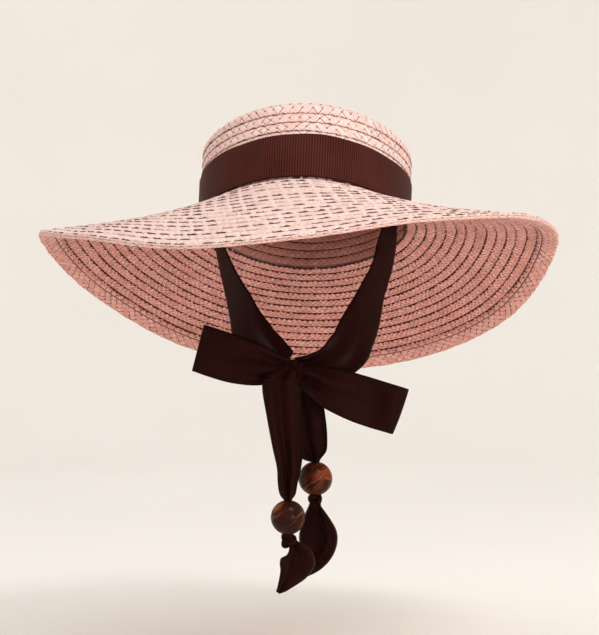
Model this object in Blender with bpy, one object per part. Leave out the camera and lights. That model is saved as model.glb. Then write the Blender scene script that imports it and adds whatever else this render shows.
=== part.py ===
"""Wide-brimmed sewn-braid straw hat with a ribbon band, chin ties, a bow and two wooden beads.

Metres, +Z up. The front of the hat faces -Y. Left and right are as seen from the front, left at -X.
The origin is where the crown of a head meets the inside of the hat: the middle of the tip's inner face.
"""
import math
from collections import namedtuple

import bmesh
import bpy
from mathutils import Matrix, Vector

# Straw crown
CROWN_WIDTH = 0.1755
CROWN_LENGTH = 0.206
CROWN_KEENNESS = 0.035
CROWN_HEIGHT = 0.065
CROWN_FLARE = 0.0016
TIP_DOME = 0.004
TIP_EDGE_RADIUS = 0.0075
STRAW_WALL = 0.002

# How the hat sits when worn
TILT_BACK = math.radians(18.5)
ROLL_RIGHT = math.radians(2.4)

# Brim and the braid sewn under its rim
BRIM_REACH = 0.130
EDGE_BRAID_WIDTH = 0.015
EDGE_BRAID_THICKNESS = 0.002

# Ribbon round the crown
BAND_WIDTH = 0.035
BAND_LIFT = 0.0006
RIBBON_THICKNESS = 0.001
LAP_START = math.radians(-104.0)
LAP_LENGTH = 0.032

# Chin ties
TIE_WIDTH = 0.037
TIE_HOLD = 0.026
TIE_STRAIGHT = 0.005
TIE_CLEARANCE = 0.0006
TIE_AZIMUTH = math.radians(88.0)
TIE_FLAT_BY = 0.3
KNOT_SIDE = -0.0102
KNOT_FORWARD = 0.111
KNOT_DROP = 0.1208

# Bow
KNOT_WIDTH = 0.023
KNOT_DEPTH = 0.020
KNOT_HEIGHT = 0.020
LOOP_REACH_LEFT = 0.075
LOOP_REACH_RIGHT = 0.090
LOOP_SLANT_LEFT = math.radians(14.5)
LOOP_SLANT_RIGHT = math.radians(20.0)
LOOP_DEPTH = 0.015
LOOP_FORWARD = 0.005

# Hanging ends, measured from the middle of the bow's knot to the top of the bead
TAIL_LENGTH_LEFT = 0.0975
TAIL_LENGTH_RIGHT = 0.0703
BUNDLE_WIDTH = 0.0056
BUNDLE_THICKNESS = 0.0036
GATHER_FROM = 0.85

# Beads, the knots below them and the ribbon tips
BEAD_DIAMETER = 0.0266
BEAD_BORE = 0.0078
BEAD_KNOT_WIDTH = 0.0112
BEAD_KNOT_DEPTH = 0.0100
BEAD_KNOT_HEIGHT = 0.0125
TIP_LENGTH_LEFT = 0.040
TIP_LENGTH_RIGHT = 0.060

# Fit between neighbouring pieces
GAP = 0.0003

# Finishes: colour, roughness
PINK_STRAW = ((0.78, 0.50, 0.44), 0.75)
BROWN_GROSGRAIN = ((0.030, 0.014, 0.013), 0.60)
DARK_RED_WOOD = ((0.16, 0.035, 0.02), 0.15)

# Mesh density
AROUND = 56
CROWN_WALL_STEPS = 2
TIP_EDGE_STEPS = 4
TIP_STEPS = 3
BRIM_STEPS = 6
EDGE_BRAID_STEPS = 2
BAND_STEPS = 2
RIBBON_ACROSS = 4
STEPS_PER_ROW = 3
BORE_STEPS = 4
LUMP_SIDES = 16
BEAD_SIDES = 16

SMOOTH_BELOW = math.radians(40.0)
SLOPE_STEP = 0.002

SEAT_HEIGHT = CROWN_HEIGHT + TIP_DOME - STRAW_WALL
HAT_FRAME = (
    Matrix.Rotation(ROLL_RIGHT, 4, "Y")
    @ Matrix.Rotation(-TILT_BACK, 4, "X")
    @ Matrix.Translation((0.0, 0.0, -SEAT_HEIGHT))
)
CROWN_BASE = HAT_FRAME @ Vector((0.0, 0.0, 0.0))
KNOT = CROWN_BASE + Vector((KNOT_SIDE, -KNOT_FORWARD, -KNOT_DROP))

# Brim by azimuth from the front, turning to the right: reach as a share of BRIM_REACH, and how far
# the straw points below the crown's base plane at its root and at its rim, in degrees.
BrimRow = namedtuple("BrimRow", "azimuth reach root_droop rim_droop")
BRIM_ROWS = (
    BrimRow(0, 0.96, 39, 45),
    BrimRow(30, 0.96, 28, 29),
    BrimRow(60, 0.98, 15, 10),
    BrimRow(90, 0.97, 3, 9),
    BrimRow(120, 1.00, 13, 23),
    BrimRow(150, 1.00, 20, 31),
    BrimRow(180, 0.97, 22, 36),
    BrimRow(210, 0.98, 20, 30),
    BrimRow(240, 1.01, 11, 17),
    BrimRow(270, 1.05, 8, 9),
    BrimRow(300, 1.02, 25, 26),
    BrimRow(330, 0.98, 40, 44),
)

# Chin ties from the crown's base down to the knot. Across, ahead and down are shares of the way from
# the inner wall to the knot. Inward, forward and up give the way the ribbon's width points.
# Width is a share of TIE_WIDTH.
TieRow = namedtuple("TieRow", "across ahead down inward forward up width")
TIE_ROWS_RIGHT = (
    TieRow(0.11, 0.00, 0.12, 0.42, 0.90, 0.00, 1.00),
    TieRow(0.18, 0.06, 0.32, 0.50, 0.86, 0.00, 1.00),
    TieRow(0.29, 0.20, 0.52, 0.54, 0.80, 0.15, 1.00),
    TieRow(0.44, 0.46, 0.72, 0.54, 0.62, 0.45, 1.00),
    TieRow(0.62, 0.76, 0.88, 0.50, 0.42, 0.70, 0.95),
    TieRow(0.83, 0.90, 0.95, 0.45, 0.20, 0.88, 0.70),
    TieRow(0.98, 0.94, 0.95, 0.35, 0.10, 0.95, 0.38),
)
TIE_ROWS_LEFT = (
    TieRow(0.10, 0.00, 0.12, 0.12, 0.99, 0.00, 1.00),
    TieRow(0.18, 0.06, 0.32, 0.20, 0.97, 0.00, 1.00),
    TieRow(0.29, 0.20, 0.52, 0.36, 0.90, 0.15, 1.00),
    TieRow(0.45, 0.46, 0.72, 0.50, 0.70, 0.42, 1.00),
    TieRow(0.66, 0.76, 0.88, 0.52, 0.45, 0.68, 0.95),
    TieRow(0.85, 0.90, 0.95, 0.45, 0.20, 0.85, 0.70),
    TieRow(0.98, 0.94, 0.95, 0.35, 0.10, 0.92, 0.38),
)

# A loop of the bow from the knot out along its front layer and back along its rear layer. Out is a
# share of the reach, ahead of LOOP_DEPTH, sag and arch of TIE_WIDTH, width of TIE_WIDTH.
LoopRow = namedtuple("LoopRow", "out ahead sag width arch")
LOOP_ROWS = (
    LoopRow(0.02, 0.10, 0.00, 0.40, 0.00),
    LoopRow(0.18, 0.20, 0.01, 0.62, 0.02),
    LoopRow(0.36, 0.40, 0.03, 0.86, 0.04),
    LoopRow(0.60, 0.50, 0.04, 0.98, 0.02),
    LoopRow(0.82, 0.42, 0.02, 1.00, 0.00),
    LoopRow(0.95, 0.26, 0.00, 1.00, 0.00),
    LoopRow(1.00, 0.00, 0.00, 1.00, 0.00),
    LoopRow(0.95, -0.26, 0.00, 1.00, 0.00),
    LoopRow(0.82, -0.42, 0.02, 1.00, 0.00),
    LoopRow(0.60, -0.50, 0.04, 0.98, 0.02),
    LoopRow(0.36, -0.40, 0.03, 0.86, 0.04),
    LoopRow(0.18, -0.28, 0.01, 0.62, 0.04),
    LoopRow(0.02, -0.10, 0.00, 0.40, 0.00),
)

# A hanging end from the knot to the top of its bead. Down and aside are shares of the tail's length,
# ahead is a share of LOOP_DEPTH from the middle of the loops, width and arch are shares of TIE_WIDTH.
# Turn swings the width about the vertical, in degrees.
TailRow = namedtuple("TailRow", "down aside ahead width arch turn")
TAIL_ROWS_LEFT = (
    TailRow(-0.02, -0.02, 0.29, 0.16, 0.00, 0),
    TailRow(0.03, -0.04, 0.75, 0.34, 0.00, 0),
    TailRow(0.10, -0.08, 0.78, 0.82, 0.02, 0),
    TailRow(0.30, -0.06, 0.75, 0.75, 0.06, 4),
    TailRow(0.57, -0.03, 0.72, 0.65, 0.09, 8),
    TailRow(0.74, -0.02, 0.84, 0.50, 0.12, 10),
    TailRow(0.87, -0.03, 0.90, 0.34, 0.10, 8),
)
TAIL_ROWS_RIGHT = (
    TailRow(0.02, 0.04, -0.57, 0.36, 0.03, 0),
    TailRow(0.12, 0.09, -0.76, 0.56, 0.04, 0),
    TailRow(0.30, 0.15, -0.80, 0.80, 0.04, -6),
    TailRow(0.54, 0.21, -0.85, 0.78, 0.06, -10),
    TailRow(0.74, 0.23, -0.85, 0.68, 0.08, -8),
    TailRow(0.88, 0.25, -0.85, 0.50, 0.10, -4),
)
# Where each tail is gathered into its bead, by the same shares
BEAD_PLACE_LEFT = TailRow(1.0, -0.029, 0.90, BUNDLE_WIDTH / TIE_WIDTH, 0.00, 0)
BEAD_PLACE_RIGHT = TailRow(1.0, 0.262, -0.85, BUNDLE_WIDTH / TIE_WIDTH, 0.00, 0)

# The ribbon below each bead's knot. Down, aside and ahead are shares of the tip's length, width and
# arch of TIE_WIDTH. Turn swings the width about the vertical, in degrees.
TipRow = namedtuple("TipRow", "down aside ahead width arch turn")
TIP_ROWS_LEFT = (
    TipRow(-0.03, 0.02, 0.00, 0.16, 0.02, 20),
    TipRow(0.06, 0.16, 0.03, 0.36, 0.05, 24),
    TipRow(0.22, 0.24, 0.06, 0.72, 0.08, 28),
    TipRow(0.42, 0.21, 0.06, 0.86, 0.08, 30),
    TipRow(0.62, 0.10, 0.04, 0.70, 0.06, 30),
    TipRow(0.84, -0.06, 0.02, 0.40, 0.03, 28),
    TipRow(1.00, -0.20, 0.00, 0.10, 0.00, 26),
)
TIP_ROWS_RIGHT = (
    TipRow(-0.02, 0.00, 0.00, 0.16, 0.02, -20),
    TipRow(0.08, 0.00, -0.02, 0.34, 0.05, -24),
    TipRow(0.26, 0.02, -0.04, 0.70, 0.08, -28),
    TipRow(0.44, 0.04, -0.05, 0.92, 0.08, -30),
    TipRow(0.62, 0.02, -0.04, 0.86, 0.06, -30),
    TipRow(0.80, -0.06, -0.02, 0.60, 0.04, -28),
    TipRow(1.00, -0.20, 0.00, 0.10, 0.00, -26),
)


def clear_scene():
    for old in list(bpy.data.objects):
        bpy.data.objects.remove(old, do_unlink=True)


def make_material(name, finish):
    colour, roughness = finish
    material = bpy.data.materials.new(name)
    material.use_nodes = True
    shader = material.node_tree.nodes["Principled BSDF"]
    shader.inputs["Base Color"].default_value = (*colour, 1.0)
    shader.inputs["Roughness"].default_value = roughness
    shader.inputs["Metallic"].default_value = 0.0
    material.diffuse_color = (*colour, 1.0)
    return material


def add_object(name, mesh_data, finish, parent=None):
    """Give a finished bmesh to a named, smooth-shaded object with a material of its own."""
    bmesh.ops.recalc_face_normals(mesh_data, faces=mesh_data.faces)
    mesh = bpy.data.meshes.new(name)
    mesh_data.to_mesh(mesh)
    mesh_data.free()
    mesh.shade_smooth()
    mesh.set_sharp_from_angle(angle=SMOOTH_BELOW)
    mesh.materials.append(make_material(name + "_finish", finish))
    made = bpy.data.objects.new(name, mesh)
    bpy.context.collection.objects.link(made)
    made.parent = parent
    return made


def smooth_table(rows, steps):
    """Points on a smooth curve through the rows, steps to each interval, as rows of the same kind."""
    kind = type(rows[0])
    points = []
    for index in range(len(rows) - 1):
        before = rows[max(index - 1, 0)]
        start, end = rows[index], rows[index + 1]
        after = rows[min(index + 2, len(rows) - 1)]
        for step in range(steps):
            share = step / steps
            values = [curve_value(*column, share) for column in zip(before, start, end, after)]
            points.append(kind(*values))
    points.append(kind(*rows[-1]))
    return points


def curve_value(before, start, end, after, share):
    """Catmull-Rom value between start and end."""
    return 0.5 * (
        2.0 * start
        + (end - before) * share
        + (2.0 * before - 5.0 * start + 4.0 * end - after) * share ** 2
        + (3.0 * start - before - 3.0 * end + after) * share ** 3
    )


def oval_point(half_width, half_length, azimuth):
    """Point of the crown's oval in its base plane, azimuth 0 at the front, turning to the right."""
    along = (1.0 - CROWN_KEENNESS) * math.cos(azimuth) + CROWN_KEENNESS * math.cos(3.0 * azimuth)
    return Vector((half_width * math.sin(azimuth), -half_length * along, 0.0))


def oval_normal(azimuth):
    """Outward direction of the crown's oval."""
    across = (1.0 - CROWN_KEENNESS) * math.sin(azimuth) + 3.0 * CROWN_KEENNESS * math.sin(3.0 * azimuth)
    across *= CROWN_LENGTH
    along = -math.cos(azimuth) * CROWN_WIDTH
    return Vector((across, along, 0.0)).normalized()


def wall_point(azimuth, height, offset):
    """Point at a height on the crown's wall, offset outward from its outer face."""
    base = oval_point(CROWN_WIDTH / 2, CROWN_LENGTH / 2, azimuth)
    out = offset + CROWN_FLARE * max(0.0, height) / CROWN_HEIGHT
    return base + oval_normal(azimuth) * out + Vector((0.0, 0.0, height))


def sheet_solid(top, bottom, wraps):
    """Closed body between two grids of points, each a list of equal rows."""
    solid = bmesh.new()
    upper = [[solid.verts.new(point) for point in row] for row in top]
    lower = [[solid.verts.new(point) for point in row] for row in bottom]
    rows = len(top)
    last = len(top[0]) - 1
    for row in range(rows if wraps else rows - 1):
        after = (row + 1) % rows
        for column in range(last):
            for grid in (upper, lower):
                solid.faces.new((
                    grid[row][column], grid[after][column],
                    grid[after][column + 1], grid[row][column + 1],
                ))
        for edge in (0, last):
            solid.faces.new((upper[row][edge], upper[after][edge], lower[after][edge], lower[row][edge]))
    if not wraps:
        for row in (0, rows - 1):
            for column in range(last):
                solid.faces.new((
                    upper[row][column], upper[row][column + 1],
                    lower[row][column + 1], lower[row][column],
                ))
    return solid


def crown_profile():
    """Outer face from the base up over the edge of the tip: how far out, and height."""
    wall_top = CROWN_HEIGHT - TIP_EDGE_RADIUS
    profile = []
    for step in range(CROWN_WALL_STEPS):
        height = wall_top * step / CROWN_WALL_STEPS
        profile.append((CROWN_FLARE * height / CROWN_HEIGHT, height))
    for step in range(TIP_EDGE_STEPS + 1):
        turn = math.pi / 2 * step / TIP_EDGE_STEPS
        height = wall_top + TIP_EDGE_RADIUS * math.sin(turn)
        inset = TIP_EDGE_RADIUS * (1.0 - math.cos(turn))
        profile.append((CROWN_FLARE * height / CROWN_HEIGHT - inset, height))
    return profile


def crown_ring(half_width, half_length, height):
    return [
        oval_point(half_width, half_length, 2.0 * math.pi * index / AROUND) + Vector((0.0, 0.0, height))
        for index in range(AROUND)
    ]


def build_crown(parent):
    """Oval straw cup with a slightly domed tip, open below, its wall thickened inward."""
    solid = bmesh.new()
    half_width, half_length = CROWN_WIDTH / 2, CROWN_LENGTH / 2
    rings = [crown_ring(half_width + out, half_length + out, height) for out, height in crown_profile()]
    tip_width = half_width + CROWN_FLARE - TIP_EDGE_RADIUS
    tip_length = half_length + CROWN_FLARE - TIP_EDGE_RADIUS
    for step in range(1, TIP_STEPS):
        spread = 1.0 - step / TIP_STEPS
        height = CROWN_HEIGHT + TIP_DOME * (1.0 - spread ** 2)
        rings.append(crown_ring(tip_width * spread, tip_length * spread, height))
    grid = [[solid.verts.new(point) for point in ring] for ring in rings]
    for lower, upper in zip(grid, grid[1:]):
        for index in range(AROUND):
            after = (index + 1) % AROUND
            solid.faces.new((lower[index], lower[after], upper[after], upper[index]))
    middle = solid.verts.new((0.0, 0.0, CROWN_HEIGHT + TIP_DOME))
    for index in range(AROUND):
        solid.faces.new((grid[-1][index], grid[-1][(index + 1) % AROUND], middle))
    crown = add_object("crown", solid, PINK_STRAW, parent)
    wall = crown.modifiers.new("straw_wall", "SOLIDIFY")
    wall.thickness = STRAW_WALL
    wall.offset = -1.0
    wall.use_even_offset = True


def brim_values(azimuth):
    """Reach in metres and droop at the root and the rim, in radians, smooth all the way round."""
    spacing = 2.0 * math.pi / len(BRIM_ROWS)
    place = (azimuth % (2.0 * math.pi)) / spacing
    index = int(place) % len(BRIM_ROWS)
    rows = [BRIM_ROWS[(index + shift) % len(BRIM_ROWS)] for shift in (-1, 0, 1, 2)]
    share = place - int(place)
    reach, root, rim = (
        curve_value(*(getattr(row, column) for row in rows), share)
        for column in ("reach", "root_droop", "rim_droop")
    )
    return reach * BRIM_REACH, math.radians(root), math.radians(rim)


def brim_point(azimuth, share):
    """Point on the brim's upper face, share 0 at the crown and 1 at the rim."""
    reach, root, rim = brim_values(azimuth)
    half_bend = (rim - root) * share / 2.0
    chord = reach * share
    if abs(half_bend) > 1e-6:
        chord *= math.sin(half_bend) / half_bend
    direction = root + half_bend
    outward = Vector((math.sin(azimuth), -math.cos(azimuth), -math.tan(direction)))
    return wall_point(azimuth, -GAP, -STRAW_WALL) + outward * (chord * math.cos(direction))


def brim_below(azimuth, share, depth):
    """Point under the brim's upper face, square to it, or straight down at the root."""
    if share == 0.0:
        return brim_point(azimuth, share) - Vector((0.0, 0.0, depth))
    around = brim_point(azimuth + SLOPE_STEP, share) - brim_point(azimuth - SLOPE_STEP, share)
    outward = brim_point(azimuth, share + SLOPE_STEP) - brim_point(azimuth, share - SLOPE_STEP)
    down = around.cross(outward).normalized()
    if down.z > 0.0:
        down = -down
    return brim_point(azimuth, share) + down * depth


def braid_shares(azimuth):
    """Shares of the brim's reach from the inner edge of the edge braid to the rim."""
    inner = 1.0 - EDGE_BRAID_WIDTH / brim_values(azimuth)[0]
    return [inner + (1.0 - inner) * step / EDGE_BRAID_STEPS for step in range(EDGE_BRAID_STEPS + 1)]


def ring_azimuths():
    return [2.0 * math.pi * index / AROUND for index in range(AROUND)]


def build_brim(parent):
    """One drooping shell. Its last columns are those of the braid below, so the two bend alike."""
    top, bottom = [], []
    for azimuth in ring_azimuths():
        braid = braid_shares(azimuth)
        shares = [braid[0] * step / BRIM_STEPS for step in range(BRIM_STEPS)] + braid
        top.append([brim_point(azimuth, share) for share in shares])
        bottom.append([brim_below(azimuth, share, STRAW_WALL) for share in shares])
    add_object("brim", sheet_solid(top, bottom, wraps=True), PINK_STRAW, parent)


def build_edge_braid(parent):
    """The row of braid sewn flat under the rim."""
    upper_depth = STRAW_WALL + GAP
    lower_depth = upper_depth + EDGE_BRAID_THICKNESS
    top, bottom = [], []
    for azimuth in ring_azimuths():
        top.append([brim_below(azimuth, share, upper_depth) for share in braid_shares(azimuth)])
        bottom.append([brim_below(azimuth, share, lower_depth) for share in braid_shares(azimuth)])
    add_object("edge_braid", sheet_solid(top, bottom, wraps=True), PINK_STRAW, parent)


def band_layer(azimuths, layer):
    """Outer and inner points of a layer of ribbon that follows the crown's wall."""
    inside = GAP + layer * (RIBBON_THICKNESS + GAP)
    outside = inside + RIBBON_THICKNESS
    heights = [BAND_LIFT + BAND_WIDTH * step / BAND_STEPS for step in range(BAND_STEPS + 1)]
    outer = [[wall_point(turn, height, outside) for height in heights] for turn in azimuths]
    inner = [[wall_point(turn, height, inside) for height in heights] for turn in azimuths]
    return outer, inner


def build_band(parent):
    """The ribbon round the crown and its lapped end, a second layer over the same facets."""
    azimuths = ring_azimuths()
    add_object("hat_band", sheet_solid(*band_layer(azimuths, 0), wraps=True), BROWN_GROSGRAIN, parent)
    first = round(LAP_START / azimuths[1])
    count = max(2, round(LAP_LENGTH / (CROWN_LENGTH / 2) / azimuths[1]))
    lapped = [azimuths[1] * (first + index) for index in range(count + 1)]
    add_object("hat_band_end", sheet_solid(*band_layer(lapped, 1), wraps=False), BROWN_GROSGRAIN, parent)


def ribbon_solid(centres, sides, widths, arches, thicknesses):
    """A strip of ribbon along its centres. Sides give the way the width points, arches its bulge."""
    top, bottom = [], []
    last = len(centres) - 1
    for index, centre in enumerate(centres):
        along = (centres[min(index + 1, last)] - centres[max(index - 1, 0)]).normalized()
        side = sides[index] - along * sides[index].dot(along)
        side.normalize()
        face = side.cross(along)
        half = thicknesses[index] / 2
        upper_row, lower_row = [], []
        for step in range(RIBBON_ACROSS + 1):
            place = step / RIBBON_ACROSS - 0.5
            bulge = arches[index] * math.cos(math.pi * place)
            slope = -arches[index] * math.pi * math.sin(math.pi * place)
            middle = centre + side * (place * widths[index]) + face * bulge
            square = (face * widths[index] - side * slope).normalized()
            upper_row.append(middle + square * half)
            lower_row.append(middle - square * half)
        top.append(upper_row)
        bottom.append(lower_row)
    return sheet_solid(top, bottom, wraps=False)


def tie_stations(rows, hand):
    """Centres and the rest for one chin tie, hand -1 on the left and 1 on the right."""
    azimuth = hand * TIE_AZIMUTH
    sweep = TIE_WIDTH / (CROWN_LENGTH * (1.0 - 4.0 * CROWN_KEENNESS))
    front = wall_point(azimuth - hand * sweep, 0.0, 0.0)
    rear = wall_point(azimuth + hand * sweep, 0.0, 0.0)
    curve = (wall_point(azimuth, 0.0, 0.0) - (front + rear) / 2).length
    clear = STRAW_WALL + TIE_CLEARANCE + RIBBON_THICKNESS / 2 + curve
    heights = (TIE_HOLD, TIE_HOLD / 2, -TIE_STRAIGHT)
    *held, start = [HAT_FRAME @ wall_point(azimuth, height, -clear) for height in heights]
    forward = HAT_FRAME.to_3x3() @ (front - rear).normalized()
    span = KNOT - start
    centres, sides, widths, arches = held, [forward, forward], [TIE_WIDTH] * 2, [hand * curve] * 2
    first = TieRow(0.0, 0.0, 0.0, -hand * forward.x, -forward.y, forward.z, 1.0)
    for row in smooth_table((first, *rows), STEPS_PER_ROW):
        centres.append(start + Vector((span.x * row.across, span.y * row.ahead, span.z * row.down)))
        sides.append(Vector((-hand * row.inward, -row.forward, row.up)))
        widths.append(TIE_WIDTH * row.width)
        arches.append(hand * curve * max(0.0, 1.0 - row.down / TIE_FLAT_BY))
    return centres, sides, widths, arches, [RIBBON_THICKNESS] * len(centres)


def loop_stations(reach, slant, hand):
    """Stations of one bow loop, hand -1 on the left and 1 on the right."""
    out = Vector((hand * math.cos(slant), 0.0, -hand * math.sin(slant)))
    up = Vector((math.sin(slant), 0.0, math.cos(slant)))
    ahead = Vector((0.0, -1.0, 0.0))
    centres, widths, arches = [], [], []
    for row in smooth_table(LOOP_ROWS, STEPS_PER_ROW):
        place = KNOT + ahead * (LOOP_FORWARD + LOOP_DEPTH * row.ahead)
        centres.append(place + out * (reach * row.out) - up * (TIE_WIDTH * row.sag))
        widths.append(TIE_WIDTH * row.width)
        arches.append(-hand * TIE_WIDTH * row.arch)
    return centres, [up] * len(centres), widths, arches, [RIBBON_THICKNESS] * len(centres)


def hanging_point(row, length):
    """Where a row of a tail lies below the knot."""
    ahead = LOOP_FORWARD + LOOP_DEPTH * row.ahead
    return KNOT + Vector((length * row.aside, -ahead, -length * row.down))


def tail_stations(rows, length, bead_place):
    """Stations of a hanging end: down to its bead, gathered to a bundle and on through the bore."""
    centres, sides, widths, arches, thicknesses = [], [], [], [], []
    for row in smooth_table((*rows, bead_place), STEPS_PER_ROW):
        turn = math.radians(row.turn)
        bunching = max(0.0, (row.down - GATHER_FROM) / (1.0 - GATHER_FROM))
        centres.append(hanging_point(row, length))
        sides.append(Vector((math.cos(turn), math.sin(turn), 0.0)))
        widths.append(TIE_WIDTH * row.width)
        arches.append(TIE_WIDTH * row.arch)
        thicknesses.append(RIBBON_THICKNESS + (BUNDLE_THICKNESS - RIBBON_THICKNESS) * bunching)
    for step in range(BORE_STEPS):
        centres.append(centres[-1] - Vector((0.0, 0.0, BEAD_DIAMETER / BORE_STEPS)))
        sides.append(Vector((1.0, 0.0, 0.0)))
        widths.append(BUNDLE_WIDTH)
        arches.append(0.0)
        thicknesses.append(BUNDLE_THICKNESS)
    return centres, sides, widths, arches, thicknesses


def bead_knot_centre(bead):
    """The knot's top just seats in the mouth of the bead's bore."""
    mouth = math.sqrt((BEAD_DIAMETER / 2) ** 2 - (BEAD_BORE / 2) ** 2)
    seat = BEAD_KNOT_HEIGHT / 2 * math.sqrt(1.0 - (BEAD_BORE / BEAD_KNOT_WIDTH) ** 2)
    return bead - Vector((0.0, 0.0, mouth + GAP + seat))


def tip_stations(rows, length, start):
    """Stations of the ribbon's end below a bead's knot."""
    centres, sides, widths, arches = [], [], [], []
    for row in smooth_table(rows, STEPS_PER_ROW):
        turn = math.radians(row.turn)
        centres.append(start + Vector((length * row.aside, -length * row.ahead, -length * row.down)))
        sides.append(Vector((math.cos(turn), math.sin(turn), 0.0)))
        widths.append(TIE_WIDTH * row.width)
        arches.append(TIE_WIDTH * row.arch)
    return centres, sides, widths, arches, [RIBBON_THICKNESS] * len(centres)


def knot_solid(centre, size, tilt):
    """A rounded knot, an ellipsoid of the given width, depth and height, turned in the front view."""
    solid = bmesh.new()
    bmesh.ops.create_uvsphere(solid, u_segments=LUMP_SIDES, v_segments=LUMP_SIDES // 2, radius=1.0)
    turn = Matrix.Rotation(tilt, 3, "Y")
    for vertex in solid.verts:
        vertex.co = centre + turn @ Vector(unit * full / 2 for unit, full in zip(vertex.co, size))
    return solid


def add_knot(name, centre, size, tilt):
    """A knot, and a guide body a gap larger that cuts the ribbons clear of it."""
    add_object(name, knot_solid(centre, size, tilt), BROWN_GROSGRAIN)
    clear_size = [full + 2 * GAP for full in size]
    cutter = add_object(name + "_clearance", knot_solid(centre, clear_size, tilt), BROWN_GROSGRAIN)
    cutter.hide_render = True
    cutter.display_type = "WIRE"
    return cutter


def add_ribbon(name, stations, cutters):
    """A piece of ribbon through its stations, cut clear of the knots it goes into."""
    ribbon = add_object(name, ribbon_solid(*stations), BROWN_GROSGRAIN)
    for cutter in cutters:
        cut = ribbon.modifiers.new(cutter.name, "BOOLEAN")
        cut.operation = "DIFFERENCE"
        cut.solver = "EXACT"
        cut.object = cutter


def bead_solid(centre):
    """A round bead with a straight bore, turned about the vertical."""
    radius = BEAD_DIAMETER / 2
    bore = BEAD_BORE / 2
    mouth = math.asin(bore / radius)
    steps = BEAD_SIDES // 2 + 1
    profile = []
    for step in range(steps + 1):
        turn = mouth + (math.pi - 2.0 * mouth) * step / steps
        profile.append((radius * math.sin(turn), radius * math.cos(turn)))
    solid = bmesh.new()
    rings = []
    for index in range(BEAD_SIDES):
        around = 2.0 * math.pi * index / BEAD_SIDES
        rings.append([
            solid.verts.new(centre + Vector((reach * math.cos(around), reach * math.sin(around), height)))
            for reach, height in profile
        ])
    for index, ring in enumerate(rings):
        after = rings[(index + 1) % BEAD_SIDES]
        for step in range(len(profile)):
            onward = (step + 1) % len(profile)
            solid.faces.new((ring[step], after[step], after[onward], ring[onward]))
    return solid


def build_hanging_end(side, bow_cutter, length, rows, bead_place, tip_length, tip_rows):
    """A tail from the bow through its bead, the knot that holds the bead and the tip below it."""
    bead = hanging_point(bead_place, length) - Vector((0.0, 0.0, BEAD_DIAMETER / 2))
    add_object("bead_" + side, bead_solid(bead), DARK_RED_WOOD)
    held = bead_knot_centre(bead)
    knot_size = (BEAD_KNOT_WIDTH, BEAD_KNOT_DEPTH, BEAD_KNOT_HEIGHT)
    cutter = add_knot("bead_knot_" + side, held, knot_size, 0.0)
    add_ribbon("tail_" + side, tail_stations(rows, length, bead_place), (bow_cutter, cutter))
    add_ribbon("tip_" + side, tip_stations(tip_rows, tip_length, held), (cutter,))


def build_hat():
    clear_scene()
    worn = bpy.data.objects.new("worn_hat_frame", None)
    bpy.context.collection.objects.link(worn)
    worn.matrix_world = HAT_FRAME
    build_crown(worn)
    build_brim(worn)
    build_edge_braid(worn)
    build_band(worn)

    knot_tilt = (LOOP_SLANT_LEFT + LOOP_SLANT_RIGHT) / 2
    bow_cutter = add_knot("bow_knot", KNOT, (KNOT_WIDTH, KNOT_DEPTH, KNOT_HEIGHT), knot_tilt)
    add_ribbon("strap_left", tie_stations(TIE_ROWS_LEFT, -1), (bow_cutter,))
    add_ribbon("strap_right", tie_stations(TIE_ROWS_RIGHT, 1), (bow_cutter,))
    add_ribbon("bow_loop_left", loop_stations(LOOP_REACH_LEFT, LOOP_SLANT_LEFT, -1), (bow_cutter,))
    add_ribbon("bow_loop_right", loop_stations(LOOP_REACH_RIGHT, LOOP_SLANT_RIGHT, 1), (bow_cutter,))
    build_hanging_end(
        "left", bow_cutter, TAIL_LENGTH_LEFT, TAIL_ROWS_LEFT, BEAD_PLACE_LEFT, TIP_LENGTH_LEFT, TIP_ROWS_LEFT
    )
    build_hanging_end(
        "right", bow_cutter, TAIL_LENGTH_RIGHT, TAIL_ROWS_RIGHT, BEAD_PLACE_RIGHT, TIP_LENGTH_RIGHT,
        TIP_ROWS_RIGHT,
    )


build_hat()
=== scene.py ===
"""Looks of the straw hat: sewn rows of plaited straw, grosgrain ribbons and lacquered wooden beads.

Metres, +Z up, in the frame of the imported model. The front of the hat faces -Y, left is at -X.
"""
import math
from collections import namedtuple

import bmesh
import bpy
import numpy as np
from mathutils import Matrix, Vector


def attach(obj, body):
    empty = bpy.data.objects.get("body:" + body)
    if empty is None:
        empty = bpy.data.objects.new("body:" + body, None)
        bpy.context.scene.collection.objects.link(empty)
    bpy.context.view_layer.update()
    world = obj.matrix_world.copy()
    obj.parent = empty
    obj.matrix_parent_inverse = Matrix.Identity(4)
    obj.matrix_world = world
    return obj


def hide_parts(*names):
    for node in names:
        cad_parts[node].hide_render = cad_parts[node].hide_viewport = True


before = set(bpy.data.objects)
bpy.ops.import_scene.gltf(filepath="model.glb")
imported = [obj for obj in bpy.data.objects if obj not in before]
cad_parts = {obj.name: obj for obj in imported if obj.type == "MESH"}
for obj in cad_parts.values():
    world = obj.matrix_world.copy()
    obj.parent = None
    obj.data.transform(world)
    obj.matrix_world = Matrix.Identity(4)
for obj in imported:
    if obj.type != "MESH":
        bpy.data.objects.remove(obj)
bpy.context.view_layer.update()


def rows_of(kind, *rows):
    return tuple(kind(*row) for row in rows)


# Straw crown
CROWN_WIDTH = 0.1755
CROWN_LENGTH = 0.206
CROWN_KEENNESS = 0.035
CROWN_HEIGHT = 0.065
CROWN_FLARE = 0.0016
TIP_DOME = 0.004
TIP_EDGE_RADIUS = 0.0075
STRAW_WALL = 0.002
TILT_BACK = math.radians(18.5)
ROLL_RIGHT = math.radians(2.4)
SEAT_HEIGHT = CROWN_HEIGHT + TIP_DOME - STRAW_WALL

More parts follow.
